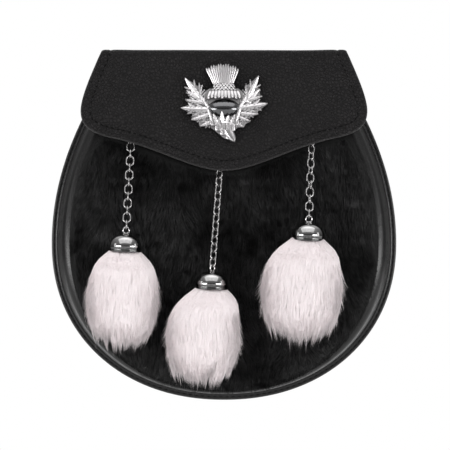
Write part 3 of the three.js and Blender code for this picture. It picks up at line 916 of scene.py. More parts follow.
class Finish:
    """How one material looks: a shader in a material of its own."""

    name: str

    def dress(self, on: Surface) -> None:
        """Gives a material's nodes the finish."""
        raise NotImplementedError

    @property
    def material(self) -> bpy.types.Material:
        """The finish's material.

        Returns:
            The material, made the first time that it is asked for.
        """
        if self.name in bpy.data.materials:
            return bpy.data.materials[self.name]
        material = bpy.data.materials.new(self.name)
        material.use_nodes = True
        self.dress(Surface(material.node_tree))
        return material


@dataclass(frozen=True)
class Leather(Finish):
    """Black leather: pebbled or smooth, paler on its pebbles, along edges and grooves that its relief
    marks, and in a painted highlight band on the side wall.
    """

    name: str
    base: Colour
    raised: Colour
    edge_and_highlight_colour: Colour = (0.07, 0.068, 0.068)
    pebble: float = 1.25
    deep: float = 0.16
    dull: float = 0.62
    shiny: float = 0.48
    gloss: float = 0.5

    def dress(self, on: Surface) -> None:
        """Grain, mottle, paler edges and grooves, and the side wall's painted highlight band.

        Args:
            on: the material's nodes.
        """
        grain = PEBBLES.use(on, Size=self.pebble)["Height"]
        mottle = MOTTLE.use(on, Size=16.0)["Share"]
        pale_edges_and_painted_highlight = WEAR_AND_PAINTED_LIGHT.use(on, Relief=on.relief(), Start=-0.12, Full=-0.5)["Share"]
        colour = on.blend(grain, self.base, self.raised)
        colour = on.blend(on.times(mottle, 0.35), colour, self.base)
        # The paler colour goes where the relief marks edges and grooves, and on the side wall where it
        # paints a highlight band.
        on.set(Base_Color=on.blend(on.times(pale_edges_and_painted_highlight, 0.6), colour, self.edge_and_highlight_colour),
               Roughness=on.spread(on.sum("ADD", grain, mottle), 0.3, 1.7, self.dull, self.shiny),
               Specular_IOR_Level=self.gloss)
        on.bump(grain, self.deep)


@dataclass(frozen=True)
class Nap(Finish):
    """The rough inside of leather, or the hide under fur."""

    name: str
    base: Colour
    raised: Colour

    def dress(self, on: Surface) -> None:
        """Short fibres, lighter on top.

        Args:
            on: the material's nodes.
        """
        fibres = on.clouds(on.place, 2600.0, 4.0)
        patch = MOTTLE.use(on, Size=9.0)["Share"]
        share = on.times(on.spread(fibres, 0.3, 0.7), on.spread(patch, 0, 1, 0.5, 1))
        on.set(Base_Color=on.blend(share, self.base, self.raised), Roughness=0.85,
               Specular_IOR_Level=0.3)
        on.bump(fibres, 0.15)


@dataclass(frozen=True)
class Thread(Finish):
    """Waxed thread, with its twist."""

    name: str
    base: Colour = (0.001, 0.001, 0.001)
    lit: Colour = (0.003, 0.003, 0.003)

    def dress(self, on: Surface) -> None:
        """A slanting twist of fine strands.

        Args:
            on: the material's nodes.
        """
        twist = on.add("TexWave", {"Vector": on.place, "Scale": 700.0, "Distortion": 1.0},
                       bands_direction="DIAGONAL").outputs["Fac"]
        on.set(Base_Color=on.blend(twist, self.base, self.lit), Roughness=0.9,
               Specular_IOR_Level=0.1)
        on.bump(twist, 0.06)


@dataclass(frozen=True)
class Hair(Finish):
    """Hair of one colour, varied from strand to strand and from lock to lock; on the black hair the
    lighter locks are painted sheen patches.
    """

    name: str
    dark: Colour
    light: Colour
    dull: float
    gloss: float
    lock: float
    patchy: float = 0.0

    def dress(self, on: Surface) -> None:
        """Locks from the mottle, some glossier than others, and a finer change by strand.

        Args:
            on: the material's nodes.
        """
        locks = MOTTLE.use(on, Size=self.lock)["Share"]
        strand = on.spread(on.clouds(on.place, 1900.0, 1.0), 0.3, 0.7)
        share = on.sum("ADD", on.times(locks, 0.6), on.times(strand, 0.4))
        # On the black hair the light colour of some locks paints sheen patches; on the white hair it is a
        # change of tone.
        on.set(Base_Color=on.blend(share, self.dark, self.light),
               Roughness=on.spread(locks, 0.0, 1.0, self.dull + 0.06, self.dull - 0.06),
               Specular_IOR_Level=on.spread(locks, 0.0, 1.0, self.gloss * (1 - self.patchy),
                                            self.gloss * (1 + self.patchy)))


@dataclass(frozen=True)
class Metal(Finish):
    """Plated metal, dark and dull in its hollows, with hairline scratches; on the bell caps the same
    darkening is a painted dark reflection and painted shade.
    """

    name: str
    bright: Colour
    dark: Colour
    polish: float
    dull: float
    tarnish: float = 0.35
    scratch: float = 0.004

    def dress(self, on: Surface) -> None:
        """Hollows from the relief, with a painted dark reflection and painted shade on the bell caps,
        tarnish from the mottle, scratches over all.

        Args:
            on: the material's nodes.
        """
        marks = SCRATCHES.use(on, Size=5.0)
        patch = MOTTLE.use(on, Size=6.0)["Share"]
        # In the badge's hollows the relief gives patina; on the bell caps it gives a painted dark
        # reflection and painted shade.
        patina_and_painted_reflection = WEAR_AND_PAINTED_LIGHT.use(on, Relief=on.relief(), Start=-0.05, Full=-0.45)["Share"]
        share = on.sum("MAXIMUM", patina_and_painted_reflection, on.times(patch, self.tarnish * 0.3))
        rough = on.sum("ADD", share, on.times(marks["Share"], 0.25))
        on.set(Base_Color=on.blend(share, self.bright, self.dark), Metallic=1.0,
               Roughness=on.spread(rough, 0.0, 1.0, self.polish, self.dull))
        on.bump(marks["Height"], self.scratch)


@dataclass(frozen=True)
class StudioFloor(Finish):
    """A plain pale painted floor."""

    name: str = "studio_floor"
    base: Colour = (0.8, 0.8, 0.8)
    pale: Colour = (0.86, 0.86, 0.86)

    def dress(self, on: Surface) -> None:
        """A faint unevenness of the paint."""
        share = MOTTLE.use(on, Size=400.0)["Share"]
        on.set(Base_Color=on.blend(share, self.base, self.pale), Roughness=0.9)


GRAINED = Leather("grained_leather", (0.0015, 0.0013, 0.0014), (0.0205, 0.019, 0.0196), pebble=1.6,
                  deep=0.55, gloss=0.13)
# The smooth leather's third colour paints its paler edges and the painted highlight band on the side
# wall.
SMOOTH = Leather("moulded_leather", (0.004, 0.0038, 0.004), (0.009, 0.0086, 0.0088),
                 (0.03, 0.029, 0.029), pebble=0.7, deep=0.02, dull=0.34, shiny=0.25, gloss=0.42)
CUT = Leather("cut_edge", (0.02, 0.019, 0.019), (0.05, 0.048, 0.047), pebble=0.5, deep=0.05,
              dull=0.5, shiny=0.4)
INSIDE = Nap("leather_inside", (0.012, 0.011, 0.011), (0.035, 0.033, 0.032))
HIDE = Nap("fur_hide", (0.003, 0.003, 0.003), (0.007, 0.007, 0.007))
THREAD = Thread("waxed_thread")
# Its light colour, far above its dark one, paints sheen patches over the fur.
BLACK_HAIR = Hair("black_hair", (0.0008, 0.0008, 0.0008), (0.02, 0.0195, 0.02),
                  dull=0.4, gloss=0.42, lock=26.0, patchy=0.85)
WHITE_HAIR = Hair("white_hair", (0.9, 0.82, 0.83), (0.95, 0.885, 0.895), dull=0.65, gloss=0.2, lock=9.0)
PEWTER = Metal("cast_pewter", (0.74, 0.72, 0.73), (0.035, 0.034, 0.035), polish=0.26, dull=0.5,
               tarnish=0.6)
DARK_BULB = Metal("polished_dark_metal", (0.16, 0.16, 0.165), (0.03, 0.03, 0.032), polish=0.14, dull=0.4)
CHAIN = Metal("chain_steel", (0.4, 0.39, 0.39), (0.08, 0.08, 0.08), polish=0.2, dull=0.36)
CHROME = Metal("polished_chrome", (0.62, 0.61, 0.61), (0.1, 0.1, 0.1), polish=0.1, dull=0.13,
               tarnish=0.15, scratch=0.002)


def dressed(piece: bpy.types.Object, *finishes: Finish) -> bpy.types.Object:
    """Gives a piece its finishes.

    Args:
        piece: the piece.
        finishes: its finishes, in the order that its faces number them.

    Returns:
        The piece.
    """
    for finish in finishes:
        piece.data.materials.append(finish.material)
    return piece


def dress_node(finish: Finish, *names: str) -> None:
    """Gives a finish to nodes that are kept as they are.

    Args:
        finish: the finish.
        names: the nodes.
    """
    for name in names:
        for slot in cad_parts[name].material_slots:
            slot.material = finish.material


# ---- Sewing ----
@dataclass(frozen=True)
class Seam:
    """A row of stitches in waxed thread."""

    pitch: float = 3.1
    length: float = 2.4
    thread: float = 0.85
    sunk: float = 0.1

    def sew(self, name: str, slot: Slot, line: Array, outward: Sequence[float]) -> None:
        """Sews along a line.

        Args:
            name: the name of the piece.
            slot: its material slot.
            line: the line's points in metres, on the leather's face.
            outward: the way out of the leather.
        """
        count = max(2, round(run_of(line)[-1] / (self.pitch * MM)) + 1)
        row = evenly(line, count)
        out = unit(np.broadcast_to(np.array(outward, float), row.shape))
        along = unit(np.gradient(row, axis=0))
        along = unit(along - out * (along * out).sum(1, keepdims=True))
        stitch = bmesh.new()
        bmesh.ops.create_uvsphere(stitch, u_segments=6, v_segments=4, radius=1)
        half = self.thread / 2
        bmesh.ops.scale(stitch, verts=stitch.verts, vec=(self.length / 2, half, half))
        turns = np.stack([along, np.cross(out, along), out], 1)
        made = copies(name, stitch, turns, row - out * self.sunk * MM)
        hand_over(dressed(made, THREAD), slot)


# ---- The pouch's walls ----
@dataclass
class PouchBody:
    """The moulded walls: the flat back, the deep side wall with its rolled rim, and their seam."""

    top: float = 12.0
    back_top: float = 7.5
    back_thick: float = 2.4
    lip: float = 6.0
    seam_inset: float = 1.7
    stations: int = 150
    cut: float = 0.35
    flat_insets: tuple[float, ...] = (0.4, 1.2, 2.0, 2.55, 3.0)
    flat_rises: tuple[float, ...] = (0.0, 0.0, 0.0, 0.1, 0.35)
    wall_steps: int = 12
    roll_steps: int = 11
    # A paler band across the side wall near the flange is a painted highlight: its relief, its place in
    # the section and its width.
    roll_start: float = 0.09
    painted_highlight_depth: float = 0.3
    painted_highlight_at: float = 0.3
    painted_highlight_width: float = 0.12
    back_relief: float = -0.3
    back_ring: float = 1.2

    def section(self, turn_in: Array, deep: Array) -> tuple[Array, Array]:
        """The side wall's outer face, from the edge of its flat seam to its lip.

        Args:
            turn_in: the inset where the wall's roll starts, at each station.
            deep: the body's depth at each station.

        Returns:
            Insets and rises, station by step.
        """
        radius, flat = POUCH.rim_radius, POUCH.gap + POUCH.leather
        turn_in, deep = turn_in[:, None], deep[:, None]
        share = np.linspace(0, 1, self.wall_steps)
        angle = np.linspace(self.roll_start, 1, self.roll_steps) * math.pi / 2
        ones = np.ones_like(deep)
        inset = np.hstack([
            ones * self.flat_insets,
            lerp(POUCH.flange - 0.1, turn_in, share),
            turn_in + radius * (1 - np.cos(angle)),
            turn_in + radius + np.array([1.0, 3.0, self.lip]),
        ])
        rise = np.hstack([
            ones * (flat + np.array(self.flat_rises)),
            lerp(flat + 0.9, deep - radius, share),
            deep - radius + radius * np.sin(angle),
            np.tile(deep, 3),
        ])
        return inset, rise

    def side_wall(self) -> None:
        """The side wall, in one moulded piece."""
        edge, out = POUCH.stations(self.stations, self.top)
        turn_in = POUCH.flange + POUCH.lean(out)
        inner = edge - out * (turn_in + POUCH.rim_radius)[:, None]
        inset, rise = self.section(turn_in, POUCH.depth(inner[:, 1]))

        def placing(u: Array, v: Array) -> tuple[Array, Array]:
            """Where the wall's corners go.

            Args:
                u: shares round the outline.
                v: shares of the section, from the cut edge to the lip.

            Returns:
                Their points in metres, and their relief.
            """
            i = np.rint(u * (self.stations - 1)).astype(int)
            j = np.rint(v * (inset.shape[1] - 1)).astype(int)
            point = edge[i] - out[i] * inset[i, j][:, None]
            # A painted highlight band near the flange, and the cut edge at the outermost row, both made
            # paler.
            pale_edges_and_painted_highlight = -self.painted_highlight_depth * np.exp(-(((v - self.painted_highlight_at) / self.painted_highlight_width) ** 2)) - 0.5 * (j == 0)
            return POUCH.place(point[:, 0], point[:, 1], rise[i, j]), pale_edges_and_painted_highlight

        made = sheet("side_wall", self.stations - 1, inset.shape[1] - 1, placing, (0, -1, 0))
        dressed(made, SMOOTH, INSIDE, CUT)
        give_wall(made, POUCH.leather, self.cut)
        hand_over(made, Slot.SMOOTH_LEATHER, "gusset")

    def back(self) -> None:
        """The flat back, cut to the pouch's outline."""
        line = POUCH.round_line(self.stations, self.back_top)
        shape = slab(POUCH.place(line[:, 0], line[:, 1], 0.0), (0, self.back_thick * MM, 0))
        relief = shape.verts.layers.float["relief"]
        for corner in shape.verts:
            corner[relief] = self.back_relief
        for _ in range(2):
            flat = [face for face in shape.faces if len(face.verts) > 6]
            bmesh.ops.inset_region(shape, faces=flat, thickness=self.back_ring * MM, use_even_offset=True)
        for corner in shape.verts:
            if any(len(face.verts) > 4 for face in corner.link_faces):
                corner[relief] = 0.0
        rims = [edge for edge in shape.edges if edge.calc_face_angle(0) > 1]
        bmesh.ops.bevel(shape, geom=rims, offset=self.cut * MM, affect="EDGES", segments=2,
                        profile=0.5, material=-1)
        made = dressed(to_object(shape, "back_wall"), SMOOTH)
        for face in made.data.polygons:
            face.use_smooth = len(face.vertices) <= 4
        hand_over(made, Slot.SMOOTH_LEATHER, "back_panel")

    def seam(self) -> None:
        """The seam round the outside, seen from the front and from behind."""
        edge, out = POUCH.stations(600, self.top + 1)
        line = edge - out * self.seam_inset
        for name, rise, way in (("seam_front", POUCH.gap + POUCH.leather, -1),
                                ("seam_back", -self.back_thick, 1)):
            Seam(pitch=3.4, length=2.6, thread=0.5).sew(
                name, Slot.SMOOTH_LEATHER, POUCH.place(line[:, 0], line[:, 1], rise), (0, way, 0))

    def build(self) -> None:
        """All of the body's pieces."""
        self.side_wall()
        self.back()
        self.seam()
        dress_node(SMOOTH, "front_panel")


@dataclass
class BeltLoop:
    """A strip behind the pouch, sewn down at its two ends, that the belt goes through."""

    side: str
    centre: float
    width: float = 22.0
    thick: float = 2.0
    half_length: float = 23.5
    foot: float = -1.7
    stand: float = 4.0
    flat_from: float = 16.7
    rise_over: float = 4.4
    box: tuple[float, float, float] = (8.0, 18.3, 22.0)
    pressed: float = 0.4
    pressed_width: float = 1.2
    rounding: float = 0.3

    def middle(self, z: Array) -> Array:
        """How far back the middle of the strip's thickness stands."""
        return lerp(self.foot, self.stand, smooth((self.flat_from - np.abs(z)) / self.rise_over))

    def build(self) -> None:
        """The strip and the box of stitches on each end."""
        def placing(u: Array, v: Array) -> tuple[Array, Array]:
            """Where the strip's corners go.

            Args:
                u: shares of its width.
                v: shares of its length.

            Returns:
                Their points in metres, and their relief.
            """
            x = (u - 0.5) * self.width
            z = (2 * v - 1) * self.half_length
            edge = np.minimum(self.width / 2 - np.abs(x), self.half_length - np.abs(z))
            relief = -self.pressed * np.maximum(0, 1 - edge / self.pressed_width) ** 2
            y = self.middle(z) + self.thick / 2 + relief
            return np.stack([self.centre + x, y, z], -1) * MM, relief

        made = sheet(f"belt_strip_{self.side}", 20, 72, placing, (0, 1, 0))
        dressed(made, SMOOTH, INSIDE, CUT)
        give_wall(made, self.thick, self.rounding)
        hand_over(made, Slot.SMOOTH_LEATHER, f"belt_loop_{self.side}")
        half, low, high = self.box
        for end, way in (("upper", 1), ("lower", -1)):
            corners = [(-half, low), (half, low), (half, high), (-half, high), (-half, low)]
            line = np.vstack([evenly(np.array(pair, float), 40) for pair in zip(corners, corners[1:])])
            y = np.full(len(line), self.foot + self.thick / 2)
            points = np.stack([self.centre + line[:, 0], y, way * line[:, 1]], -1) * MM
            Seam(pitch=2.6, length=2.0, thread=0.6).sew(
                f"belt_strip_{self.side}_{end}_seam", Slot.SMOOTH_LEATHER, points, (0, 1, 0))


# ---- The flap ----
@dataclass
class FoldedFlap:
    """The flap of grained leather: sewn down behind, folded over the mouth, pointed in front."""

    columns: int = 104
    rows: int = 96
    crowd_side: float = 1.12
    crowd_edge: float = 1.5
    over_share: float = 0.42
    seam_inset: float = 5.2
    groove: float = 0.45
    groove_width: float = 0.6
    roll: float = 0.55
    roll_width: float = 1.8
    swell: float = 0.35
    swell_wave: float = 55.0
    bend_steps: int = 40
    seam_top: float = 3.0
    end_seam_half: float = 62.0
    end_seam_drops: tuple[float, float] = (9.5, 14.5)
    over: Array = field(init=False)

    def __post_init__(self) -> None:
        """Works out the section behind and over the top: rise, drop and the turn of the way outward."""
        bend = np.linspace(0, 1, self.bend_steps)
        front = FLAP.rise(FLAP.fold) + FLAP.thick
        parts = [[(FLAP.behind, FLAP.tab_drop, 0.0)]]
        for centre, start, end in ((FLAP.behind + FLAP.fold, 0, math.pi / 2),
                                   (front - FLAP.fold, math.pi / 2, math.pi - FLAP.lean)):
            turn = lerp(start, end, bend)
            parts.append(np.stack([centre - FLAP.fold * np.cos(turn),
                                   FLAP.fold - FLAP.fold * np.sin(turn), turn], -1))
        self.over = np.vstack(parts)

    def spot(self, c: Array, v: Array) -> tuple[Array, Array, Array, Array, Array]:
        """A place on the flap's outer face.

        Args:
            c: from -1 at the left to 1 at the right.
            v: from 0 at the sewn-down end to 1 at the free edge.

        Returns:
            Sideways place, drop, rise, turn of the way outward, and distance from the cut edge.
        """
        run = run_of(self.over[:, :2])
        share = np.minimum(v / self.over_share, 1) * run[-1]
        rise, drop, turn = (np.interp(share, run, column) for column in self.over.T)
        taper = FLAP.tab_taper * np.minimum(1, drop / FLAP.tab_drop)
        half = np.where(rise < 0, FLAP.side[0][0] - taper, FLAP.side_x(drop))
        x, rim = c * half, half * (1 - np.abs(c))
        front = np.clip((v - self.over_share) / (1 - self.over_share), 0, 1)
        t = 1 - (1 - front) ** self.crowd_edge
        edge = FLAP.edge(c)
        start = self.over[-1, 1]
        front_drop = lerp(start, edge[:, 1], t)
        front_x = c * FLAP.side_x(front_drop) + t * (edge[:, 0] - c * FLAP.side_x(edge[:, 1]))
        hangs = v >= self.over_share
        front_rim = distance_to(np.stack([front_x, front_drop], -1), FLAP.rim_line)
        x, drop = np.where(hangs, front_x, x), np.where(hangs, front_drop, drop)
        rise = np.where(hangs, FLAP.rise(front_drop) + FLAP.thick, rise)
        return x, drop, rise, turn, np.where(hangs, front_rim, rim)

    def crowded(self, u: Array) -> Array:
        """Shares of the width as places from -1 to 1, closer together at the sides."""
        side = 2 * u - 1
        return np.sign(side) * (1 - (1 - np.abs(side)) ** self.crowd_side)

    def placing(self, u: Array, v: Array) -> tuple[Array, Array]:
        """The flap's outer face with its stitch groove, rolled edge and gentle swells.

        Args:
            u: shares of its width.
            v: shares of its length, from its sewn-down end.

        Returns:
            Points in metres, and their relief.
        """
        x, drop, rise, turn, rim = self.spot(self.crowded(u), v)
        pressed = self.groove * np.exp(-(((rim - self.seam_inset) / self.groove_width) ** 2))
        rolled = self.roll * np.maximum(0, 1 - rim / self.roll_width) ** 2
        uneven = 0.5 + 0.5 * ripple(x, drop + rise, self.swell_wave, 5)
        swell = self.swell * uneven * smooth((rim - 7) / 12)
        relief = -(0.2 * pressed + rolled)
        out = -(pressed + rolled + swell)
        return POUCH.place(x, drop - np.sin(turn) * out, rise - np.cos(turn) * out), relief

    def inner(self, u: Array, v: Array) -> tuple[Array, Array]:
        """The flap's plain inner face, under the outer one.

        Args:
            u: shares of its width.
            v: shares of its length, from its sewn-down end.

        Returns:
            Points in metres, and their relief of 0.
        """
        x, drop, rise, turn, _ = self.spot(self.crowded(u), v)
        points = POUCH.place(x, drop + np.sin(turn) * FLAP.thick, rise + np.cos(turn) * FLAP.thick)
        return points, np.zeros(len(points))

    def build(self) -> None:
        """The flap and its seams."""
        made = walled("folded_flap", self.columns, self.rows, self.placing, self.inner)
        dressed(made, GRAINED, INSIDE, CUT)
        hand_over(made, Slot.FLAP_LEATHER, "flap")
        self.front_seam()
        self.back_seam()

    def front_seam(self) -> None:
        """The seam a little inside the cut edge, all round the front."""
        rim = evenly(FLAP.rim_line, 900)
        along = unit(np.gradient(rim, axis=0))
        inward = np.stack([along[:, 1], -along[:, 0]], -1)
        line = rim + inward * self.seam_inset
        line = line[line[:, 1] > self.seam_top]
        points = POUCH.place(line[:, 0], line[:, 1], FLAP.rise(line[:, 1]) + FLAP.thick - self.groove)
        outward = (0.0, -math.cos(FLAP.lean), math.sin(FLAP.lean))
        Seam().sew("flap_seam", Slot.FLAP_LEATHER, points, outward)

    def back_seam(self) -> None:
        """Two rows that hold the flap's end to the back."""
        x = np.linspace(-self.end_seam_half, self.end_seam_half, 200)
        for row, drop in zip(("upper", "lower"), self.end_seam_drops):
            points = POUCH.place(x, np.full(len(x), drop), FLAP.behind)
            Seam(pitch=3.3).sew(f"flap_end_{row}_seam", Slot.FLAP_LEATHER, points, (0, 1, 0))


# ---- The fur front ----
@dataclass
class FrontFur:
    """Short black fur glued on the crowned front, lying downward and fanning out a little."""

    thick: float = 3.5
    thin: float = 0.3
    fade: float = 24.0
    seat: float = 0.6
    hidden: float = 3.0
    shy: float = 0.6
    spread_drop: float = 18.0
    over_side: float = 1.6
    over_base: float = 5.0
    middle: float = 118.0
    squares: int = 60
    hairs: int = 28500
    length: tuple[float, float] = (7.0, 11.0)
    radius: float = 0.13
    fan: float = 13.0
    swirls: tuple[tuple[float, float, int], ...] = ((0.5, 42.0, 3), (0.2, 15.0, 4))
    tuft: tuple[float, float] = (4.5, 6.5)
    tuft_wave: float = 12.0
    raise_wave: float = 30.0
    strays: float = 0.12
    border: Array = field(init=False)

    def __post_init__(self) -> None:
        """Works out the border: round the sides and base, and back along behind the flap's edge."""
        edge, out = POUCH.stations(700, POUCH.mouth_drop)
        seam = edge - out * POUCH.rim_inset(out)[:, None]
        seen = seam[:, 1] > self.top(seam[:, 0])
        edge, out, seam = edge[seen], out[seen], seam[seen]
        reach = lerp(self.over_base, self.over_side, out[:, 0] ** 2)
        share = smooth((seam[:, 1] - seam[0, 1]) / self.spread_drop)
        round_base = seam + out * lerp(-self.shy, reach, share)[:, None]
        x = np.linspace(round_base[-1, 0], round_base[0, 0], 300)[1:-1]
        self.border = np.vstack([round_base, np.stack([x, self.top(x)], -1)])

    def top(self, x: Array) -> Array:
        """The drop of the fur's upper edge."""
        return FLAP.edge_drop(x) - self.hidden

    def face(self, x: Array, drop: Array, rim: Array) -> Array:
        """How far out the fur stands at its full height.

        Args:
            x: sideways places.
            drop: drops.
            rim: how far inside the border the places lie.

        Returns:
            The rise at each place.
        """
        pile = self.thick * lerp(self.thin, 1, smooth((drop - self.top(x)) / self.fade))
        full = POUCH.panel_face(x, drop) + self.seat + pile
        return lerp(POUCH.depth(drop) + 1.2, full, smooth((rim + 0.5) / 7.5))

    def hide_face(self, x: Array, drop: Array, rim: Array) -> Array:
        """How far out the hide lies that the hairs grow from.

        Args:
            x: sideways places.
            drop: drops.
            rim: how far inside the border the places lie.

        Returns:
            The rise at each place.
        """
        full = POUCH.panel_face(x, drop) + self.seat + 0.5
        low = POUCH.depth(drop) + 0.75
        return lerp(low, np.maximum(full, low), smooth(rim / 4))

    def rim(self, points: Array) -> Array:
        """How far inside the border places lie, less than 0 outside it."""
        away = distance_to(points, self.border)
        return np.where(inside(points, self.border), away, -away)

    def hide(self) -> None:
        """The hide under the hairs, spread from its middle to the border."""
        centre = np.array([0.0, self.middle])
        around = self.border - centre
        bearing = np.arctan2(around[:, 0], around[:, 1])
        order = np.argsort(bearing)
        far = np.linalg.norm(around, axis=1)[order]
        bearing = bearing[order]

        def placing(u: Array, v: Array) -> tuple[Array, Array]:
            """Where the hide's corners go, a square of them drawn out into the border.

            Args:
                u: shares of the square's width.
                v: shares of its length.

            Returns:
                Their points in metres, and their relief of 0.
            """
            a, b = 2 * u - 1, 2 * v - 1
            x, y = a * np.sqrt(1 - b * b / 2), b * np.sqrt(1 - a * a / 2)
            share, angle = np.hypot(x, y), np.arctan2(x, y)
            reach = np.interp(angle, bearing, far, period=2 * math.pi) * share
            point = centre + np.stack([np.sin(angle), np.cos(angle)], -1) * reach[:, None]
            rise = self.hide_face(point[:, 0], point[:, 1], self.rim(point) * (share < 0.999))
            return POUCH.place(point[:, 0], point[:, 1], rise), np.zeros(len(point))

        made = dressed(sheet("front_hide", self.squares, self.squares, placing, (0, -1, 0)), HIDE)
        give_wall(made, 0.5, 0.1)
        hand_over(made, Slot.BLACK_FUR, "fur_front")

    def flow(self, x: Array, drop: Array) -> Array:
        """The way that the hairs lie.

        Args:
            x: sideways places.
            drop: drops.

        Returns:
            The angle out from straight down at each place.
        """
        turn = math.radians(self.fan) * x / POUCH.crown_half_width
        for share, wave, seed in self.swirls:
            turn = turn + share * ripple(x, drop, wave, seed)
        return turn

    def hair(self) -> None:
        """The hairs, tuft by tuft."""
        dice = np.random.default_rng(11)
        low, high = self.border.min(0), self.border.max(0)
        thrown = dice.uniform(low, high, (int(self.hairs * 1.5), 2))
        root = thrown[inside(thrown, self.border)][: self.hairs]
        count = len(root)
        LOG.info("front fur: %d hairs", count)
        flow = self.flow(root[:, 0], root[:, 1])
        way = np.stack([np.sin(flow), np.cos(flow)], -1)
        length = dice.uniform(*self.length, count)
        rim = self.rim(root)
        uneven = ripple(root[:, 0], root[:, 1], self.tuft_wave, 6)[:, None]
        cell = np.floor((root + 1.5 * uneven) / self.tuft).astype(int)
        cells = 64
        nudge = dice.uniform(-0.35, 0.35, (cells, cells, 2))[cell[:, 0] % cells, cell[:, 1] % cells]
        heart = (cell + 0.5 + nudge) * self.tuft
        stray = dice.uniform(0, 1, count) < self.strays
        pull = np.where(stray, 0.0, dice.uniform(0.3, 0.7, count))[:, None]
        tip = lerp(root + way * length[:, None], heart + way * (length * 0.95)[:, None], pull)
        tip = tip + dice.normal(0, 0.35, (count, 2))
        outside = ~inside(tip, self.border)
        room = np.clip((np.maximum(rim, 0) + dice.uniform(0.3, 2.3, count)) / length, 0.15, 1.0)
        tip = np.where(outside[:, None], root + (tip - root) * room[:, None], tip)
        middle = lerp(root, tip, 0.5) + dice.normal(0, 0.25, (count, 2))
        raised = 0.8 + 0.6 * ripple(root[:, 0], root[:, 1], self.raise_wave, 9)
        lift = np.clip(dice.uniform(0.35, 1.0, count) * raised, 0.15, 1.0) * np.where(stray, 1.1, 1.0)
        tip_rim = self.rim(tip)
        rises = []
        for points, inward, share in ((root, rim, 0.0), (middle, (rim + tip_rim) / 2, lift * 0.75),
                                      (tip, tip_rim, lift)):
            hide = self.hide_face(points[:, 0], points[:, 1], inward) - 0.15
            face = np.maximum(self.face(points[:, 0], points[:, 1], inward), hide)
            rises.append(POUCH.place(points[:, 0], points[:, 1], lerp(hide, face, share)))
        paths = np.stack(rises, 1)
        radii = self.radius * MM * np.stack([np.ones(count), np.full(count, 0.8)], -1)
        radii = radii * dice.uniform(0.7, 1.2, count)[:, None]
        half = count // 2
        halves = {"front_hair_under": slice(0, half), "front_hair_over": slice(half, count)}
        for name, part in halves.items():
            made = dressed(tubes(name, paths[part], radii[part]), BLACK_HAIR)
            hand_over(made, Slot.BLACK_FUR)

    def build(self) -> None:
        """The hide and its hairs."""
        self.hide()
        self.hair()


# ---- The badge ----
class Cut(Enum):
    """How a raised blade of the badge is shaped along its length."""

    LEAF = "leaf"
    SHELL = "shell"
    FLUTE = "flute"

    def width(self, v: Array) -> Array:
        """How wide the blade is.

        Args:
            v: shares of its length.

        Returns:
            Its half width at each share, 1 where it is widest.
        """
        if self is Cut.LEAF:
            return np.minimum(1.0, 1.55 * (v + 0.25) ** 0.3 * (1.02 - v) ** 0.62)
        if self is Cut.SHELL:
            return np.sqrt(np.clip(1 - v**2.4, 0.0004, 1)) * (0.85 + 0.15 * v)
        return np.sqrt(np.clip(1 - np.maximum(0, (v - 0.86) / 0.14) ** 2, 0.002, 1)) * (0.75 + 0.25 * v)


Spot = tuple[float, float]


@dataclass(frozen=True)
class Blade:
    """One raised blade of the badge: its start and end, its half width, and how it stands."""

    base: Spot
    tip: Spot
    half: float
    low: float = 1.5
    ridge: float = 1.1
    cut: Cut = Cut.LEAF
    bow: float = 0.0
    lift: float = 0.0

    def placing(self, u: Array, v: Array) -> tuple[Array, Array, Array]:
        """The blade's face, in the badge's own frame and in millimetres.

        Args:
            u: shares of its width.
            v: shares of its length.

        Returns:
            Places on the badge, heights above it, and their relief.
        """
        base, tip = np.array(self.base), np.array(self.tip)
        along = unit((tip - base)[None])[0]
        across = np.array([-along[1], along[0]])
        side = 2 * u - 1
        length = float(np.linalg.norm(tip - base))
        centre = base + (tip - base) * v[:, None] + across * (self.bow * np.sin(v * math.pi))[:, None]
        flat = centre + across * (side * self.half * self.cut.width(v))[:, None]
        round_over = np.sqrt(np.clip(1 - side**2, 0, 1))
        if self.cut is Cut.LEAF:
            crest = 0.45 * (1 - np.abs(side)) ** 0.8 + 0.55 * round_over
            veins = 0.1 * np.cos((v * length * 1.9 - np.abs(side) * self.half * 1.4) * 2.2) * np.abs(side)
            rib = 0.22 * np.exp(-((side / 0.13) ** 2))
            beside_rib = np.exp(-((np.abs(side) - 0.3) / 0.1) ** 2)
            height = self.ridge * crest * (1 - 0.55 * v) + veins * round_over + rib
            relief = -0.5 * np.abs(side) ** 5 - 0.28 * (veins < -0.03) - 0.3 * beside_rib
        else:
            start, end = np.maximum(0, 1 - v * 5), np.maximum(0, v * 4 - 3)
            height = self.ridge * round_over * (1 - 0.25 * v**3)
            relief = -0.4 * np.abs(side) ** 5 - 0.3 * start - 0.25 * end
        return flat, self.low + height + self.lift * v, relief


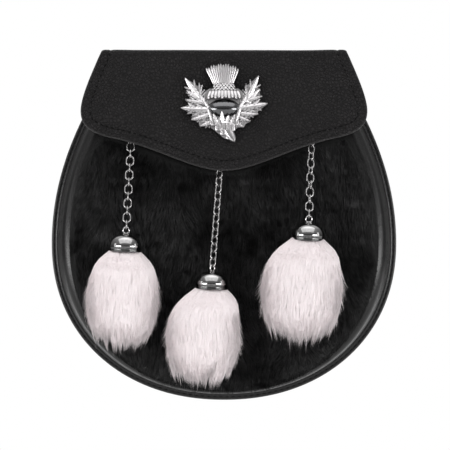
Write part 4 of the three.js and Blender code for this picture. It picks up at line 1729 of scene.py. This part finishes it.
@dataclass
class ThistleBadge:
    """The cast badge: a thistle head between two toothed leaves, with a polished bulb."""

    drop: float = 31.5
    plate: float = 1.9
    thin: float = 0.6
    bulb_centre: Spot = (0.0, -1.0)
    bulb_half: Spot = (9.4, 5.4)
    bulb_stand: float = 5.2
    left_edge: tuple[Spot, ...] = (
        (-8.0, 10.0), (-12.2, 7.2), (-12.0, 11.6), (-13.3, 10.3), (-15.1, 11.9), (-21.7, 16.1),
        (-18.8, 9.9), (-20.5, 8.8), (-18.8, 4.5), (-21.5, 3.7), (-19.0, 1.0), (-24.2, -0.9),
        (-17.4, -4.4), (-18.2, -7.6), (-13.9, -8.7), (-13.5, -11.2), (-7.7, -11.4), (-4.6, -14.1),
        (0.4, -18.2))
    right_edge: tuple[Spot, ...] = (
        (5.7, -19.4), (3.8, -16.8), (4.0, -14.5), (7.8, -11.8), (10.9, -11.9), (12.0, -9.8),
        (14.7, -8.5), (13.2, -6.7), (19.0, -4.4), (18.6, -2.9), (24.4, 1.5), (17.3, 3.2),
        (21.1, 5.6), (20.0, 6.4), (19.6, 9.6), (17.7, 11.9), (19.0, 17.3), (14.0, 12.6),
        (11.5, 11.3), (11.6, 7.2), (8.0, 10.0))
    leaves: tuple[tuple[Spot, Spot, float], ...] = (
        ((-13.5, 5.5), (-21.9, 16.4), 3.0), ((-14.0, 4.6), (-20.9, 9.0), 2.3),
        ((-13.0, 2.2), (-21.7, 3.7), 2.1), ((-11.5, -1.8), (-24.4, -0.9), 3.3),
        ((-9.5, -5.0), (-18.5, -7.7), 2.5), ((-6.0, -8.0), (-13.7, -11.4), 2.3),
        ((-13.2, 4.5), (-12.0, 12.0), 1.6), ((-9.4, 1.0), (-13.6, 7.4), 1.8),
        ((13.4, 5.5), (19.2, 17.6), 2.7), ((14.0, 4.8), (20.0, 9.8), 2.2),
        ((13.6, 3.6), (21.3, 5.7), 1.9), ((11.6, -0.6), (24.6, 1.6), 3.2),
        ((10.5, -4.0), (19.2, -4.4), 2.1), ((8.5, -6.0), (14.9, -8.5), 2.0),
        ((6.0, -8.0), (11.07, -12.0), 2.1), ((12.6, 4.8), (11.5, 11.5), 1.4),
        ((9.4, 1.2), (13.2, 7.6), 1.8))
    lobes: tuple[Spot, ...] = ((0.18, 0.46), (0.45, 0.34))
    lobe_turn: float = 34.0
    bracts: tuple[Spot, ...] = (
        (-8.9, -1.6), (9.1, -1.0), (-5.8, -4.6), (5.9, -5.2), (-1.2, -3.2), (2.4, -5.6))
    scales: tuple[tuple[float, tuple[float, ...]], ...] = (
        (-9.2, (-5.6, -1.9, 1.9, 5.6)), (-12.0, (-3.4, 0.2, 3.6)), (-14.4, (-0.9, 2.4)), (-16.6, (2.0,)))
    flutes: int = 14
    frills: int = 10
    shrink: float = 0.985

    @cached_property
    def matrix(self) -> Matrix:
        """The badge's own frame.

        Returns:
            A frame in millimetres, set on the flap's slope.
        """
        rise = FLAP.rise(self.drop) + FLAP.thick + POUCH.gap
        seat = Vector(POUCH.place(0.0, self.drop, rise))
        lean = FLAP.lean
        turn = Matrix(((1, 0, 0), (0, math.sin(lean), -math.cos(lean)),
                       (0, math.cos(lean), math.sin(lean))))
        return Matrix.Translation(seat) @ turn.to_4x4() @ Matrix.Scale(MM, 4)

    def place(self, flat: Array, height: Array) -> Array:
        """Points in metres from the badge's own frame."""
        own = np.column_stack([flat, height, np.ones(len(flat))])
        return (own @ np.array(self.matrix).T)[:, :3]

    def add(self, shape: bmesh.types.BMesh, blade: Blade, across: int = 10, along: int = 18) -> None:
        """Adds one blade to a bmesh.

        Args:
            shape: the bmesh.
            blade: the blade.
            across: squares in its width.
            along: squares in its length.
        """
        def placing(u: Array, v: Array) -> tuple[Array, Array]:
            """The blade's points in metres, and their relief."""
            flat, height, relief = blade.placing(u, v)
            return self.place(flat, height), relief

        add_sheet(shape, across, along, placing)

    def outline_plate(self) -> None:
        """The thin plate behind, cut to the leaves' outline."""
        line = np.array(self.left_edge + self.right_edge) * self.shrink
        shape = slab(np.column_stack([line, np.zeros(len(line))]), (0, 0, self.plate))
        relief = shape.verts.layers.float["relief"]
        for corner in shape.verts:
            corner[relief] = -0.24 if corner.co.z > 1 else -0.4
        bmesh.ops.bevel(shape, geom=list(shape.edges), offset=0.18, affect="EDGES", segments=1,
                        profile=0.5, material=-1)
        bmesh.ops.transform(shape, matrix=self.matrix, verts=shape.verts)
        made = dressed(to_object(shape, "badge_plate"), PEWTER)
        for face in made.data.polygons:
            face.use_smooth = False
        hand_over(made, Slot.BADGE_METAL, "thistle_badge")

    def foliage(self) -> None:
        """The toothed leaves, the bracts round the bulb, and the scales down to the stem."""
        shape = bmesh.new()
        for base, tip, half in self.leaves:
            start, end = lerp(np.array(tip), np.array(base), 1.28), np.array(tip)
            self.add(shape, Blade(tuple(start), lerp(start, end, 0.95), half * 0.62, low=1.95, ridge=0.9,
                                  lift=0.3, bow=0.3 if base[0] < 0 else -0.3))
            for share, reach in self.lobes:
                root = lerp(start, end, share)
                x, up = (end - start) * reach
                for way in (-1, 1):
                    turn = math.radians(self.lobe_turn * way)
                    lobe = root + np.array([x * math.cos(turn) - up * math.sin(turn),
                                            x * math.sin(turn) + up * math.cos(turn)])
                    self.add(shape, Blade(tuple(root), tuple(lobe), half * 0.36, low=1.8, ridge=0.75),
                             6, 10)
        for i, tip in enumerate(self.bracts):
            base = (0.62 * tip[0], -9.6 - 0.1 * abs(tip[0]))
            self.add(shape, Blade(base, tip, 1.25, low=2.4 + 0.1 * i, ridge=0.6, lift=1.7))
        for row, (up, spots) in enumerate(self.scales):
            for x in spots:
                tip = (x * 1.15 + (0.4 if row else 0.0), up + 3.2)
                self.add(shape, Blade((x + 0.5, up - 1.6), tip, 2.4 - 0.2 * row, low=2.5 - 0.35 * row,
                                      ridge=0.75, lift=0.7), 8, 12)
        self.add(shape, Blade((1.0, -11.5), (5.8, -19.6), 3.1, low=1.2, ridge=1.6, cut=Cut.SHELL))
        self.finish(shape, "badge_foliage")

    def flower(self) -> None:
        """The thistle's down, its hatched collar and the frill under it."""
        shape = bmesh.new()
        for i in range(self.flutes):
            share = i / (self.flutes - 1)
            top = lerp(21.2, 23.3, 1 - abs(2 * share - 1) ** 2.2) - 0.5 * (i % 3 == 1)
            base, tip = (lerp(-5.3, 4.4, share), 11.6), (lerp(-9.7, 7.7, share), top)
            low = 1.6 + 1.3 * math.sin(share * math.pi)
            self.add(shape, Blade(base, tip, 0.8, low=low, ridge=0.95, cut=Cut.FLUTE, lift=0.4), 8, 16)

        def collar(u: Array, v: Array) -> tuple[Array, Array]:
            """Where the hatched collar's corners go.

            Args:
                u: shares of its width.
                v: shares of its height, from the top.

            Returns:
                Their points in metres, and their relief.
            """
            side, down = 2 * u - 1, v
            half = lerp(5.2, 7.4, down**0.8)
            flat = np.stack([side * half, 12.7 - 5.6 * down - 0.5 * (1 - side**2) * (1 - down)], -1)
            one_way = np.abs(np.sin((side * 3.2 + down * 2.2) * math.pi))
            hatch = one_way * np.abs(np.sin((side * 3.2 - down * 2.2) * math.pi))
            height = 1.4 + 2.7 * np.sqrt(np.clip(1 - 0.9 * side**2, 0, 1)) + 0.4 * hatch**0.6
            return self.place(flat, height), -0.55 * (1 - hatch) ** 2

        add_sheet(shape, 64, 34, collar)
        for i in range(self.frills):
            share = (i + 0.5) / self.frills
            x = lerp(-9.3, 9.3, share)
            base, tip = (x * 0.84, 8.4), (x * 1.07, 3.6 + 0.5 * (i % 2))
            low = 1.9 + 2.2 * math.sin(share * math.pi)
            self.add(shape, Blade(base, tip, 1.45, low=low, ridge=0.9, cut=Cut.SHELL, lift=0.9), 8, 12)
        self.finish(shape, "badge_flower")

    def finish(self, shape: bmesh.types.BMesh, name: str) -> None:
        """Turns blades outward, gives them their thickness and dresses them.

        Args:
            shape: the bmesh that holds them.
            name: the name of the piece.
        """
        shape.normal_update()
        outward = self.matrix.to_3x3() @ Vector((0, 0, 1))
        for face in shape.faces:
            if face.normal.dot(outward) < -0.2 * outward.length:
                face.normal_flip()
        made = dressed(to_object(shape, name), PEWTER)
        give_wall(made, self.thin, 0)
        hand_over(made, Slot.BADGE_METAL)

    def bulb(self) -> None:
        """The polished dark bulb."""
        shape = bmesh.new()
        bmesh.ops.create_uvsphere(shape, u_segments=40, v_segments=24, radius=1)
        bmesh.ops.scale(shape, verts=shape.verts, vec=(*self.bulb_half, self.bulb_stand))
        whole = [*shape.verts, *shape.edges, *shape.faces]
        bmesh.ops.bisect_plane(shape, geom=whole, plane_co=(0, 0, 1.0), plane_no=(0, 0, 1),
                               clear_inner=True)
        bmesh.ops.holes_fill(shape, edges=[edge for edge in shape.edges if edge.is_boundary], sides=0)
        bmesh.ops.translate(shape, verts=shape.verts, vec=(*self.bulb_centre, 0))
        bmesh.ops.recalc_face_normals(shape, faces=shape.faces)
        bmesh.ops.transform(shape, matrix=self.matrix, verts=shape.verts)
        made = dressed(to_object(shape, "badge_bulb"), DARK_BULB)
        hand_over(made, Slot.BADGE_METAL)

    def build(self) -> None:
        """All of the badge."""
        self.outline_plate()
        self.foliage()
        self.flower()
        self.bulb()


# ---- The hangings ----
@dataclass
class Hanging:
    """One chain with its bell cap and fur tassel."""

    name: str
    from_x: float
    from_drop: float
    from_rise: float
    x: float
    drop: float
    links: int
    first_turn: float
    last_turn: float
    width: float
    length: float
    depth: float
    lean: float
    seed: int
    back: float = 8.2
    tilt: float = 3.0
    eye: float = 1.7
    wire: float = 0.82
    link_radius: float = 2.0
    link_straight: float = 0.65
    eye_to_link: float = 3.15
    cap_height: float = 10.0
    cap_radius: float = 8.9
    hairs: int = 15600
    clumps: int = 130
    hair_radius: float = 0.155
    strays: float = 0.12
    wisps: float = 0.03
    cap_outer: tuple[Spot, ...] = (
        (0.02, 0), (2.2, 0.15), (4.2, 0.6), (5.8, 1.4), (7.0, 2.5), (7.9, 3.7), (8.45, 4.9), (8.8, 6.2),
        (8.85, 7.2), (8.65, 8.3), (8.45, 9.0), (8.75, 9.6), (8.7, 9.95))
    cap_inner: tuple[Spot, ...] = (
        (8.3, 10.0), (7.9, 9.4), (7.9, 7.6), (6.6, 3.6), (4.0, 2.0), (0.02, 1.5))
    girth: tuple[Spot, ...] = (
        (-0.05, 0.34), (0.0, 0.46), (0.04, 0.62), (0.08, 0.74), (0.14, 0.86), (0.2, 0.93), (0.3, 0.99),
        (0.42, 1.01), (0.56, 1.01), (0.68, 0.97), (0.8, 0.87), (0.93, 0.76), (1.05, 0.62))
    fringe: tuple[Spot, ...] = (
        (0.0, 0.98), (0.35, 0.96), (0.56, 0.91), (0.75, 0.84), (0.88, 0.74), (0.98, 0.6), (1.06, 0.44))

    @cached_property
    def cap_top(self) -> Vector:
        """The middle of the cap's top, in metres.

        Returns:
            A point as far out as lets the cap's lip clear the fur.
        """
        drop, well_inside = self.drop + self.cap_height, 20.0
        fur = FUR.face(np.array([self.x]), np.array([drop]), np.array([well_inside]))[0]
        return Vector(POUCH.place(self.x, self.drop, fur + self.cap_radius + 2 * POUCH.gap))

    @cached_property
    def frame(self) -> Matrix:
        """The hanging part's own frame, in millimetres, its Z up along the cap's axis."""
        turn = Matrix.Rotation(math.radians(self.tilt), 4, "Y")
        return Matrix.Translation(self.cap_top) @ turn @ Matrix.Scale(MM, 4)

    @property
    def up(self) -> Vector:
        """The way up along the cap's axis."""
        return (self.frame.to_3x3() @ Vector((0, 0, 1))).normalized()

    def chain(self) -> None:
        """The links, each a quarter turn from the next."""
        start = Vector(POUCH.place(self.from_x, self.from_drop, self.from_rise))
        end = self.cap_top + self.up * self.eye * MM
        down = (end - start).normalized()
        first, last = start + down * self.eye_to_link * MM, end - down * self.eye_to_link * MM
        lie = Vector((0, 0, -1)).rotation_difference(down).to_matrix()
        turns, places = [], []
        for i in range(self.links):
            share = i / (self.links - 1)
            turn = lerp(self.first_turn, self.last_turn, share) + (self.links - i) % 2 * 90
            turned = lie @ Matrix.Rotation(math.radians(turn), 3, "Z")
            turns.append(np.array(turned.transposed()))
            places.append(np.array(first.lerp(last, share)))
        link = ring_pattern(self.link_radius, self.wire, 24, 10)
        for way in (1, -1):
            half = [corner for corner in link.verts if corner.co.z * way > 1e-4]
            bmesh.ops.translate(link, verts=half, vec=(0, 0, way * self.link_straight))
        made = copies(f"chain_{self.name}", link, np.array(turns), np.array(places))
        nodes = [f"chain_{self.name}_link_{i + 1:02d}" for i in range(self.links)]
        hand_over(dressed(made, CHAIN), Slot.CHAIN_METAL, *nodes)
        dress_node(CHAIN, f"chain_anchor_{self.name}")

    def cap(self) -> None:
        """The polished bell with its eye."""
        shape = bmesh.new()
        wall = [*self.cap_outer, *self.cap_inner]
        relief = shape.verts.layers.float.new("relief")
        corners = [shape.verts.new((radius, 0, -down)) for radius, down in wall]
        # The relief darkens the cap from the middle of its dome down, a painted dark reflection, and more
        # at its waist and lip, painted shade.
        for corner, (_, down) in zip(corners, wall):
            corner[relief] = -0.3 * smooth((down - 2.0) / 2.0) - 0.3 * smooth((down - 7.0) / 1.5)
        edges = [shape.edges.new(pair) for pair in zip(corners, corners[1:])]
        bmesh.ops.spin(shape, geom=[*corners, *edges], cent=(0, 0, 0), axis=(0, 0, 1),
                       angle=2 * math.pi, steps=36, use_merge=True)
        apart = 0.01
        bmesh.ops.remove_doubles(shape, verts=shape.verts, dist=apart)
        for corner in shape.verts:
            if math.hypot(corner.co.x, corner.co.y) < 5 * apart:
                corner.co.x = corner.co.y = 0.0
        bmesh.ops.remove_doubles(shape, verts=shape.verts, dist=apart)
        bmesh.ops.recalc_face_normals(shape, faces=shape.faces)
        eye = ring_pattern(self.eye, self.wire, 24, 10)
        turn = Matrix.Rotation(math.radians(self.last_turn), 3, "Z")
        bmesh.ops.rotate(eye, verts=eye.verts, matrix=turn)
        bmesh.ops.translate(eye, verts=eye.verts, vec=(0, 0, self.eye))
        ring = bpy.data.meshes.new("eye")
        eye.to_mesh(ring)
        eye.free()
        shape.from_mesh(ring)
        bpy.data.meshes.remove(ring)
        bmesh.ops.transform(shape, matrix=self.frame, verts=shape.verts)
        made = dressed(to_object(shape, f"bell_{self.name}"), CHROME)
        round_off = made.modifiers.new("smooth", "SUBSURF")
        round_off.levels = round_off.render_levels = 1
        hand_over(made, Slot.CHAIN_METAL, f"cap_{self.name}")

    def body(self, down: Array, around: Array, size: Array | float) -> Array:
        """Points of the tassel in metres.

        Args:
            down: shares of the tassel's length below the cap.
            around: angles about its axis, the front at minus a right angle.
            size: how far out, 1 being its widest outline at any height.

        Returns:
            One row for each point.
        """
        deep = np.where(np.sin(around) > 0, self.back, self.depth)
        x = size * self.width * np.cos(around) + self.lean * smooth(down / 0.32)
        y = np.minimum(1.0, size * 1.12) * deep * np.sin(around)
        own = np.stack([x, y, -self.cap_height - 0.3 - down * self.length, np.ones(x.shape)], -1)
        return (own @ np.array(self.frame).T)[..., :3]

    def out(self, down: Array) -> Array:
        """How far out the tassel's outline is at a share of its length."""
        knots = np.array(self.girth)
        return np.interp(down, knots[:, 0], knots[:, 1])

    def core(self) -> None:
        """The tassel's dense middle, under its hairs."""
        shape = bmesh.new()
        bmesh.ops.create_uvsphere(shape, u_segments=40, v_segments=28, radius=1)
        own = np.array([corner.co for corner in shape.verts])
        down = -0.05 + (1 - own[:, 2]) / 2 * 0.85
        tips = np.clip((1 - np.abs(own[:, 2])) / 0.12, 0, 1) ** 0.5
        size = self.out(down) * 0.84 * tips * np.sqrt(np.clip((0.8 - down) / 0.45, 0.0, 1))
        around = np.arctan2(own[:, 1], own[:, 0])
        for corner, point in zip(shape.verts, self.body(down, around, size)):
            corner.co = point
        bmesh.ops.recalc_face_normals(shape, faces=shape.faces)
        made = dressed(to_object(shape, f"tassel_{self.name}_core"), WHITE_HAIR)
        hand_over(made, Slot.WHITE_FUR, f"tassel_{self.name}")

    def roots(self, dice: np.random.Generator) -> tuple[Array, Array]:
        """Where the hairs start.

        Args:
            dice: the tassel's own random numbers.

        Returns:
            Angles about the axis, spread evenly over the surface, and shares of the length.
        """
        angles = np.linspace(-math.pi, math.pi, 721)
        deep = np.where(np.sin(angles) > 0, self.back, self.depth)
        pace = np.hypot(self.width * np.sin(angles), deep * np.cos(angles))
        run = np.concatenate([[0], np.cumsum((pace[1:] + pace[:-1]) / 2)])
        around = np.interp(dice.uniform(0, run[-1], self.hairs), run, angles)
        return around, -0.05 + 0.87 * dice.uniform(0, 1, self.hairs) ** 1.15

    def locks(self, dice: np.random.Generator, around: Array, end: Array) -> tuple[Array, Array]:
        """The lock that each hair lies in.

        Args:
            dice: the tassel's own random numbers.
            around: the angle of each hair's root.
            end: how far down each hair would reach.

        Returns:
            The number of each hair's lock, and the turn from the hair to the lock's middle.
        """
        heart = dice.uniform(-math.pi, math.pi, self.clumps)
        heart_down = dice.uniform(0.2, 1.1, self.clumps)
        away = np.abs((around[:, None] - heart + math.pi) % (2 * math.pi) - math.pi) * 1.4
        lock = (away + 1.2 * np.abs(end[:, None] - heart_down)).argmin(axis=1)
        return lock, (heart[lock] - around + math.pi) % (2 * math.pi) - math.pi

    def limit(self, dice: np.random.Generator, share: Array, lock: Array) -> Array:
        """How far down the hairs may reach.

        Args:
            dice: the tassel's own random numbers.
            share: how far out from the axis each hair lies, seen from the front.
            lock: the number of each hair's lock.

        Returns:
            The share of the tassel's length at which each hair ends, if it is long enough.
        """
        ends = np.array(self.fringe)
        lock_reach = dice.normal(0, 0.05, self.clumps)[lock]
        limit = np.interp(share, ends[:, 0], ends[:, 1]) + lock_reach + dice.normal(0, 0.03, self.hairs)
        longer = dice.uniform(0, 1, self.hairs) < self.wisps
        return limit + np.where(longer, dice.uniform(0.0, 0.1, self.hairs), 0.0)

    def hair(self) -> None:
        """The tassel's long hairs: smooth at the top, in loose spiky locks at the lower end."""
        dice = np.random.default_rng(self.seed)
        count = self.hairs
        around, start = self.roots(dice)
        long = dice.uniform(0.16, 0.3, count)
        buried = np.where(dice.uniform(0, 1, count) < 0.15, dice.uniform(0.03, 0.2, count),
                          dice.uniform(0.0, 0.03, count))
        stray = dice.uniform(0, 1, count) < self.strays
        size = np.where(stray, 1.0, 1 - buried * smooth((start - 0.3) / 0.4))
        lock, drawn = self.locks(dice, around, start + long)
        across = size * np.cos(around) * self.out(start + long * 0.5)
        share = np.hypot(across, 0.28 * (size * np.sin(around)))
        end = np.minimum(start + long, self.limit(dice, share, lock))
        start = np.minimum(start, end - 0.14)
        steps = np.array([0.0, 0.5, 1.0])
        down = lerp(start[:, None], end[:, None], steps)
        sideways = smooth((np.abs(np.cos(around)) - 0.75) / 0.2)
        fan = sideways * dice.uniform(0, 0.09, self.clumps)[lock]
        fan = fan + np.where(stray, dice.uniform(0.02, 0.16, count), 0.0)
        flare = fan[:, None] * steps**1.5 * smooth((down - 0.15) / 0.35)
        follow = self.out(down) * size[:, None] * (1 + flare)
        low = smooth((down - 0.5) / 0.4)
        turn = around[:, None] + drawn[:, None] * steps**1.5 * low * 0.5
        turn = turn + dice.normal(0, 0.02, (count, 1)) * steps
        phase = dice.uniform(0, FULL_TURN, self.clumps)[lock][:, None]
        paths = self.body(down, turn, follow * (1 + 0.006 * np.sin(down * 14 + phase) * low))
        paths = paths + dice.normal(0, 0.1 * MM, paths.shape) * steps[None, :, None]
        radii = self.hair_radius * MM * np.tile([1.0, 0.85], (count, 1))
        radii = radii * dice.uniform(0.7, 1.15, (count, 1)) * np.where(stray, 0.6, 1.0)[:, None]
        made = dressed(tubes(f"tassel_{self.name}_hair", paths, radii), WHITE_HAIR)
        hand_over(made, Slot.WHITE_FUR)

    def build(self) -> None:
        """The chain, the cap and the tassel."""
        self.chain()
        self.cap()
        self.core()
        self.hair()


FUR = FrontFur()
HANGINGS = (
    Hanging(name="left", from_x=-50.6, from_drop=46.4, from_rise=32.0, x=-53.4, drop=100.7, links=13,
            first_turn=0, last_turn=0, width=18.6, length=53.0, depth=13.0, lean=0.0, seed=21),
    Hanging(name="middle", from_x=-2.0, from_drop=61.2, from_rise=34.4, x=-6.4, drop=121.2, links=14,
            first_turn=45, last_turn=45, width=18.9, length=53.0, depth=13.5, lean=-3.2, seed=22),
    Hanging(name="right", from_x=48.0, from_drop=47.6, from_rise=32.4, x=46.2, drop=94.6, links=11,
            first_turn=45, last_turn=0, width=20.9, length=56.5, depth=14.0, lean=-1.9, seed=23),
)


# ---- The studio ----
@dataclass
class SoftBox:
    """A large soft lamp that looks at the pouch."""

    name: str
    place: tuple[float, float, float]
    size: tuple[float, float]
    watts: float

    def hang(self, target: Vector) -> None:
        """Puts the lamp up.

        Args:
            target: the point that it looks at.
        """
        lamp = bpy.data.lights.new(self.name, "AREA")
        lamp.shape = "RECTANGLE"
        lamp.size, lamp.size_y = self.size
        lamp.energy = self.watts
        made = linked(self.name, lamp)
        made.location = self.place
        made.rotation_euler = (target - Vector(self.place)).to_track_quat("-Z", "Y").to_euler()


@dataclass
class Studio:
    """A plain pale floor, soft lamps, a pale surround, and the camera straight in front."""

    middle: tuple[float, float, float] = (0.00055, 0.0, -0.0521)
    away: float = 4.0
    view_width: float = 0.2485
    sensor: float = 36.0
    floor_below: float = 0.245
    floor_half: float = 1.45
    boxes: tuple[SoftBox, ...] = (
        SoftBox("left_box", (-1.2, -1.0, -0.12), (0.95, 0.4), 11.5),
        SoftBox("right_box", (1.2, -1.0, -0.12), (0.95, 0.4), 11.5),
        SoftBox("left_strip", (-1.3, -0.3, -0.1), (0.3, 1.2), 2.5),
        SoftBox("right_strip", (1.3, -0.3, -0.1), (0.3, 1.2), 2.5),
        SoftBox("top_box", (0.0, -0.85, 1.4), (2.8, 1.7), 19.0),
        SoftBox("back_box", (0.0, 1.6, 0.9), (1.6, 1.0), 6.0),
        SoftBox("low_back_box", (0.0, 1.6, 0.3), (1.0, 0.5), 2.5),
    )

    def surround(self) -> None:
        """White to the camera, and a gradient from a bright ceiling to a dim floor in reflections."""
        world = bpy.data.worlds.new("surround")
        bpy.context.scene.world = world
        world.use_nodes = True
        nodes = Nodes(world.node_tree)
        direction = nodes.add("TexCoord").outputs["Generated"]
        height = nodes.add("SeparateXYZ", {0: direction}).outputs["Z"]
        light = nodes.add("ValToRGB", {0: nodes.spread(height, -1.0, 1.0)})
        stops = light.color_ramp.elements
        stops[0].color, stops[1].color = (0.35, 0.35, 0.35, 1), (1.0, 1.0, 1.0, 1)
        middle = stops.new(0.5)
        middle.color = (0.15, 0.15, 0.15, 1)
        seen = nodes.add("LightPath").outputs["Is Camera Ray"]
        shade = nodes.add("Background", {"Color": light.outputs[0], "Strength": 0.6})
        plain = nodes.add("Background", {"Color": (1.0, 1.0, 1.0), "Strength": 1.0})
        both = nodes.add("MixShader", {0: seen, 1: shade.outputs[0], 2: plain.outputs[0]})
        nodes.add("OutputWorld", {"Surface": both.outputs[0]})

    def floor(self) -> None:
        """The floor that the light comes back from."""
        shape = bmesh.new()
        bmesh.ops.create_grid(shape, x_segments=8, y_segments=8, size=self.floor_half)
        bmesh.ops.translate(shape, verts=shape.verts, vec=(0, 0, -self.floor_below))
        dressed(to_object(shape, "studio_floor"), StudioFloor())

    def camera(self) -> None:
        """The camera, level and straight in front."""
        lens = bpy.data.cameras.new("camera")
        lens.sensor_width = self.sensor
        lens.lens = self.sensor * self.away / self.view_width
        lens.clip_end = 50.0
        made = linked("camera", lens)
        made.location = (self.middle[0], -self.away, self.middle[2])
        made.rotation_euler = (math.pi / 2, 0, 0)
        bpy.context.scene.camera = made

    def build(self) -> None:
        """All of the studio."""
        self.surround()
        self.floor()
        self.camera()
        for box in self.boxes:
            box.hang(Vector(self.middle))
        bpy.context.scene.view_settings.view_transform = "Standard"


def main() -> None:
    """Builds the sporran and its studio."""
    logging.basicConfig(level=logging.INFO, format="%(name)s: %(message)s")
    Studio().build()
    PouchBody().build()
    for side, centre in (("left", -45.0), ("right", 45.0)):
        BeltLoop(side, centre).build()
    FUR.build()
    FoldedFlap().build()
    ThistleBadge().build()
    for hanging in HANGINGS:
        hanging.build()
    dress_node(CHROME, "snap_stud")


if __name__ == "__main__":
    main()
